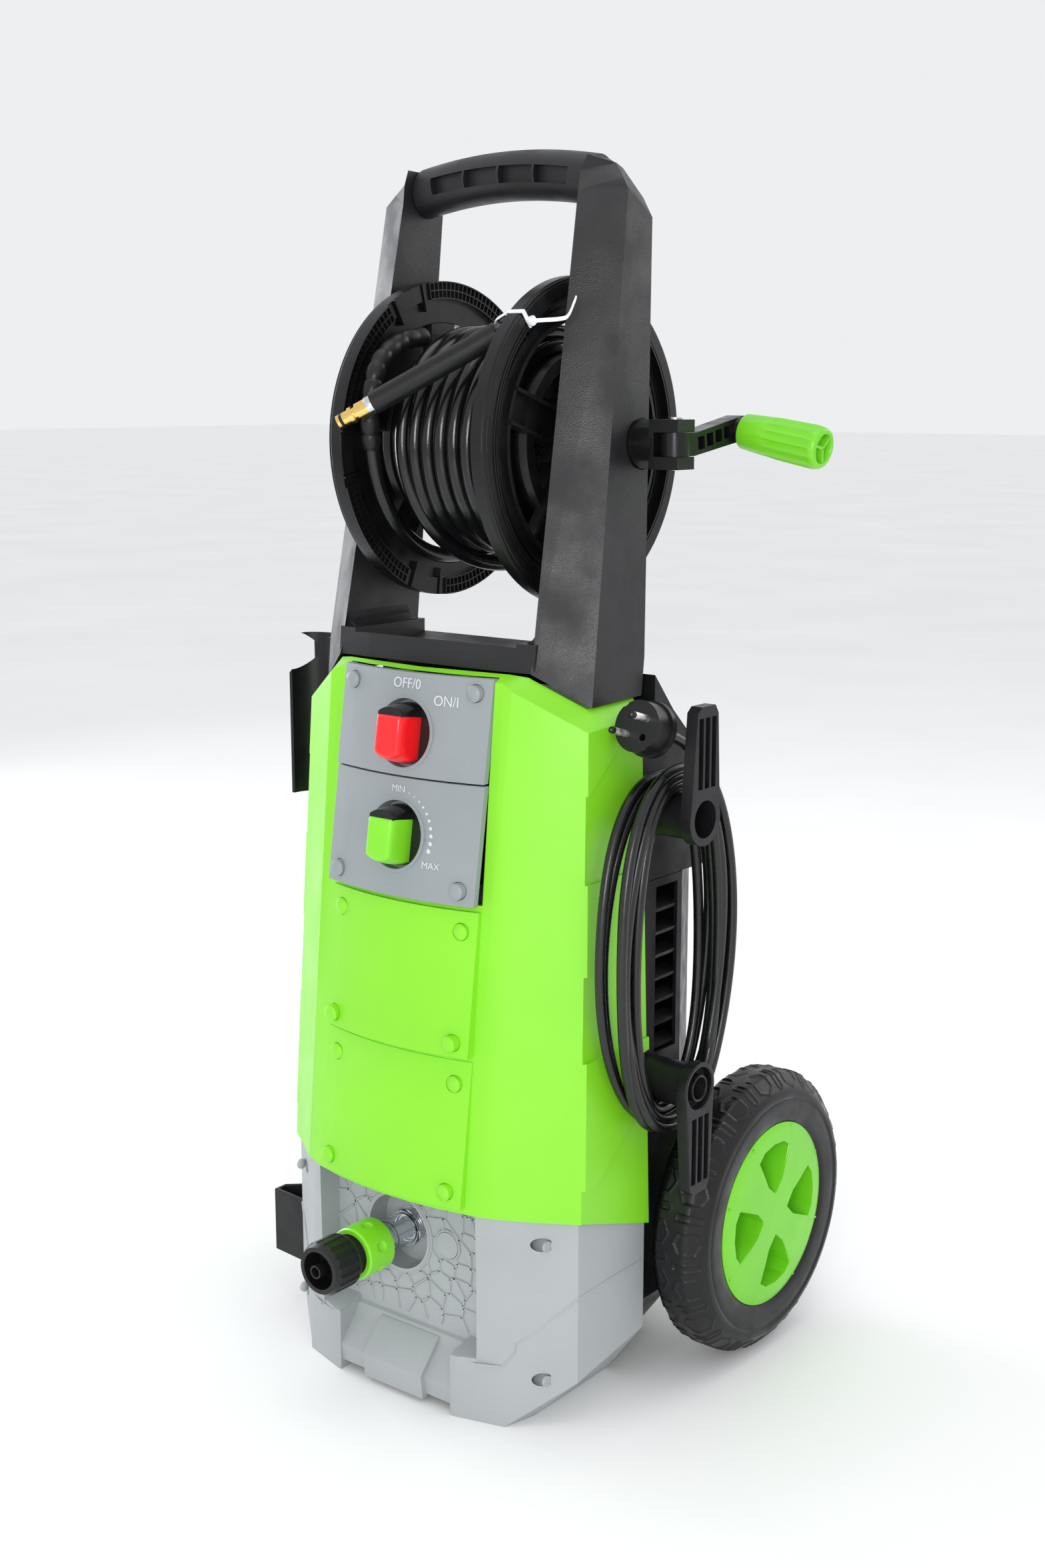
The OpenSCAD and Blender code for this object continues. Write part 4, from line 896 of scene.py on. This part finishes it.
def make_cable_tie():
    """The strap round the sleeve and the rim, its head, and the tail that curls up."""
    outline = convex([(cx + r * math.cos(math.tau * k / 24), cr + r * math.sin(math.tau * k / 24))
                      for (cx, cr), r in TIE_ROUNDS for k in range(24)])
    line = [tie_world(x, 0, r) for x, r in outline]
    line = smooth_route(line + [line[0]], 2)
    lateral = tie_world(0, 1, 0) - tie_world(0, 0, 0)
    build = Build()
    strap(build, line, lateral, [3.4] * len(line), 1.15)
    strap(build, [tie_world(*p) for p in TIE_HEAD], lateral, [4.2, 5.4, 5.4, 4.4], 5.4)
    start = tie_world(76, 0.4, 107.6)
    tail = smooth_route([start + Vector(p) for p in TIE_TAIL], 4)
    widths = [3.2 - 1.6 * max(0, i / (len(tail) - 1) - 0.75) * 4 for i in range(len(tail))]
    strap(build, tail, Vector((-0.4, 0.5, 0.77)).normalized(), widths, 1.0)
    tie = build.piece("nylon_tie", "white", "reel", "tie_white")
    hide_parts("cable_tie")


# ---------------------------------------------------------------- plug
PLUG_FACE = (154, -52, 512)
PLUG_ROLL = math.radians(40)
PLUG_FROM_UP = math.radians(74)
PIN_OFFSET = 9.5
PIN_PROFILE = [(-0.2, 2.5), (8, 2.5), (15.6, 2.48), (17.6, 2.2), (18.7, 1.5), (19.0, 0.5)]


def plug_world(a, b, along):
    """The plug's own frame: across its face, and along its pins."""
    x = a * math.cos(PLUG_ROLL) - b * math.sin(PLUG_ROLL)
    y = a * math.sin(PLUG_ROLL) + b * math.cos(PLUG_ROLL)
    c, s = math.cos(PLUG_FROM_UP), math.sin(PLUG_FROM_UP)
    px, py, pz = PLUG_FACE
    return Vector((px + x, py + y * c - along * s, pz + y * s + along * c))


def make_plug_pins():
    build = Build()
    for x in (-PIN_OFFSET, PIN_OFFSET):
        turned(build, lambda a, b, z: plug_world(a + x, b, z), PIN_PROFILE, 24)
    build.piece("plug_pins", "pins", "body", "steel")


def make_details():
    """Everything finer than the CAD nodes, in the same order each run."""
    for side in (1, -1):
        make_tyre(side)
        make_spoke_ridges(side)
    make_base_relief()
    make_dial_marks()
    make_knob_insert("power", "red", "insert_red")
    make_knob_insert("pressure", "lime_small", "insert_green")
    make_flange_teeth()
    make_crank_grip()
    make_cable_tie()
    make_plug_pins()


make_camera()
lead, relief = make_mains_lead()
hose, beaded = make_hose()
dress_cad()
make_details()


# ---------------------------------------------------------------- stage
FLOOR_HALF = 30
WORLD_TONE = (0.97, 0.98, 1, 1)
WORLD_STRENGTH = 0.88
# name, place, target, size, watts, colour
LIGHTS = [("front", (1.35, -2.25, 1.0), (0, 0, 0.48), (0.8, 0.9), 27, (1, 1, 1)),
          ("left", (-2.3, 0.1, 1.1), (0, 0, 0.5), (0.9, 1.6), 22, (0.93, 0.95, 1)),
          ("top", (0.1, -0.1, 2.6), (0, 0, 0.4), (1.3, 1.3), 7, (1, 1, 1)),
          ("back", (0.9, 2.2, 1.6), (0, 0, 0.5), (1.2, 1.4), 10, (1, 1, 1))]


def area_light(name, at, target, size, power, colour):
    data = bpy.data.lights.new(name, "AREA")
    data.shape = "RECTANGLE"
    data.size, data.size_y = size
    data.energy = power
    data.color = colour
    o = bpy.data.objects.new(name, data)
    SCENE.collection.objects.link(o)
    o.location = at
    o.rotation_mode = "QUATERNION"
    o.rotation_quaternion = (Vector(target) - Vector(at)).to_track_quat("-Z", "Y")


def make_stage():
    """A plain pale floor, an even sky and four soft lights."""
    mesh = bpy.data.meshes.new("floor")
    f = FLOOR_HALF
    mesh.from_pydata([(-f, -f, 0), (f, -f, 0), (f, f, 0), (-f, f, 0)], [], [(0, 1, 2, 3)])
    m, tree, bsdf = shader("floor")
    tinted(tree, bsdf, place_noise(tree, 2, 3), (0.9, 0.9, 0.9), (0.94, 0.94, 0.94))
    bsdf.inputs["Roughness"].default_value = 0.6
    mesh.materials.append(m)
    floor = bpy.data.objects.new("floor", mesh)
    SCENE.collection.objects.link(floor)
    world = bpy.data.worlds.new("studio")
    world.use_nodes = True
    background = world.node_tree.nodes["Background"]
    background.inputs["Color"].default_value = WORLD_TONE
    background.inputs["Strength"].default_value = WORLD_STRENGTH
    SCENE.world = world
    SCENE.view_settings.view_transform = "Standard"
    for light in LIGHTS:
        area_light(*light)


make_stage()
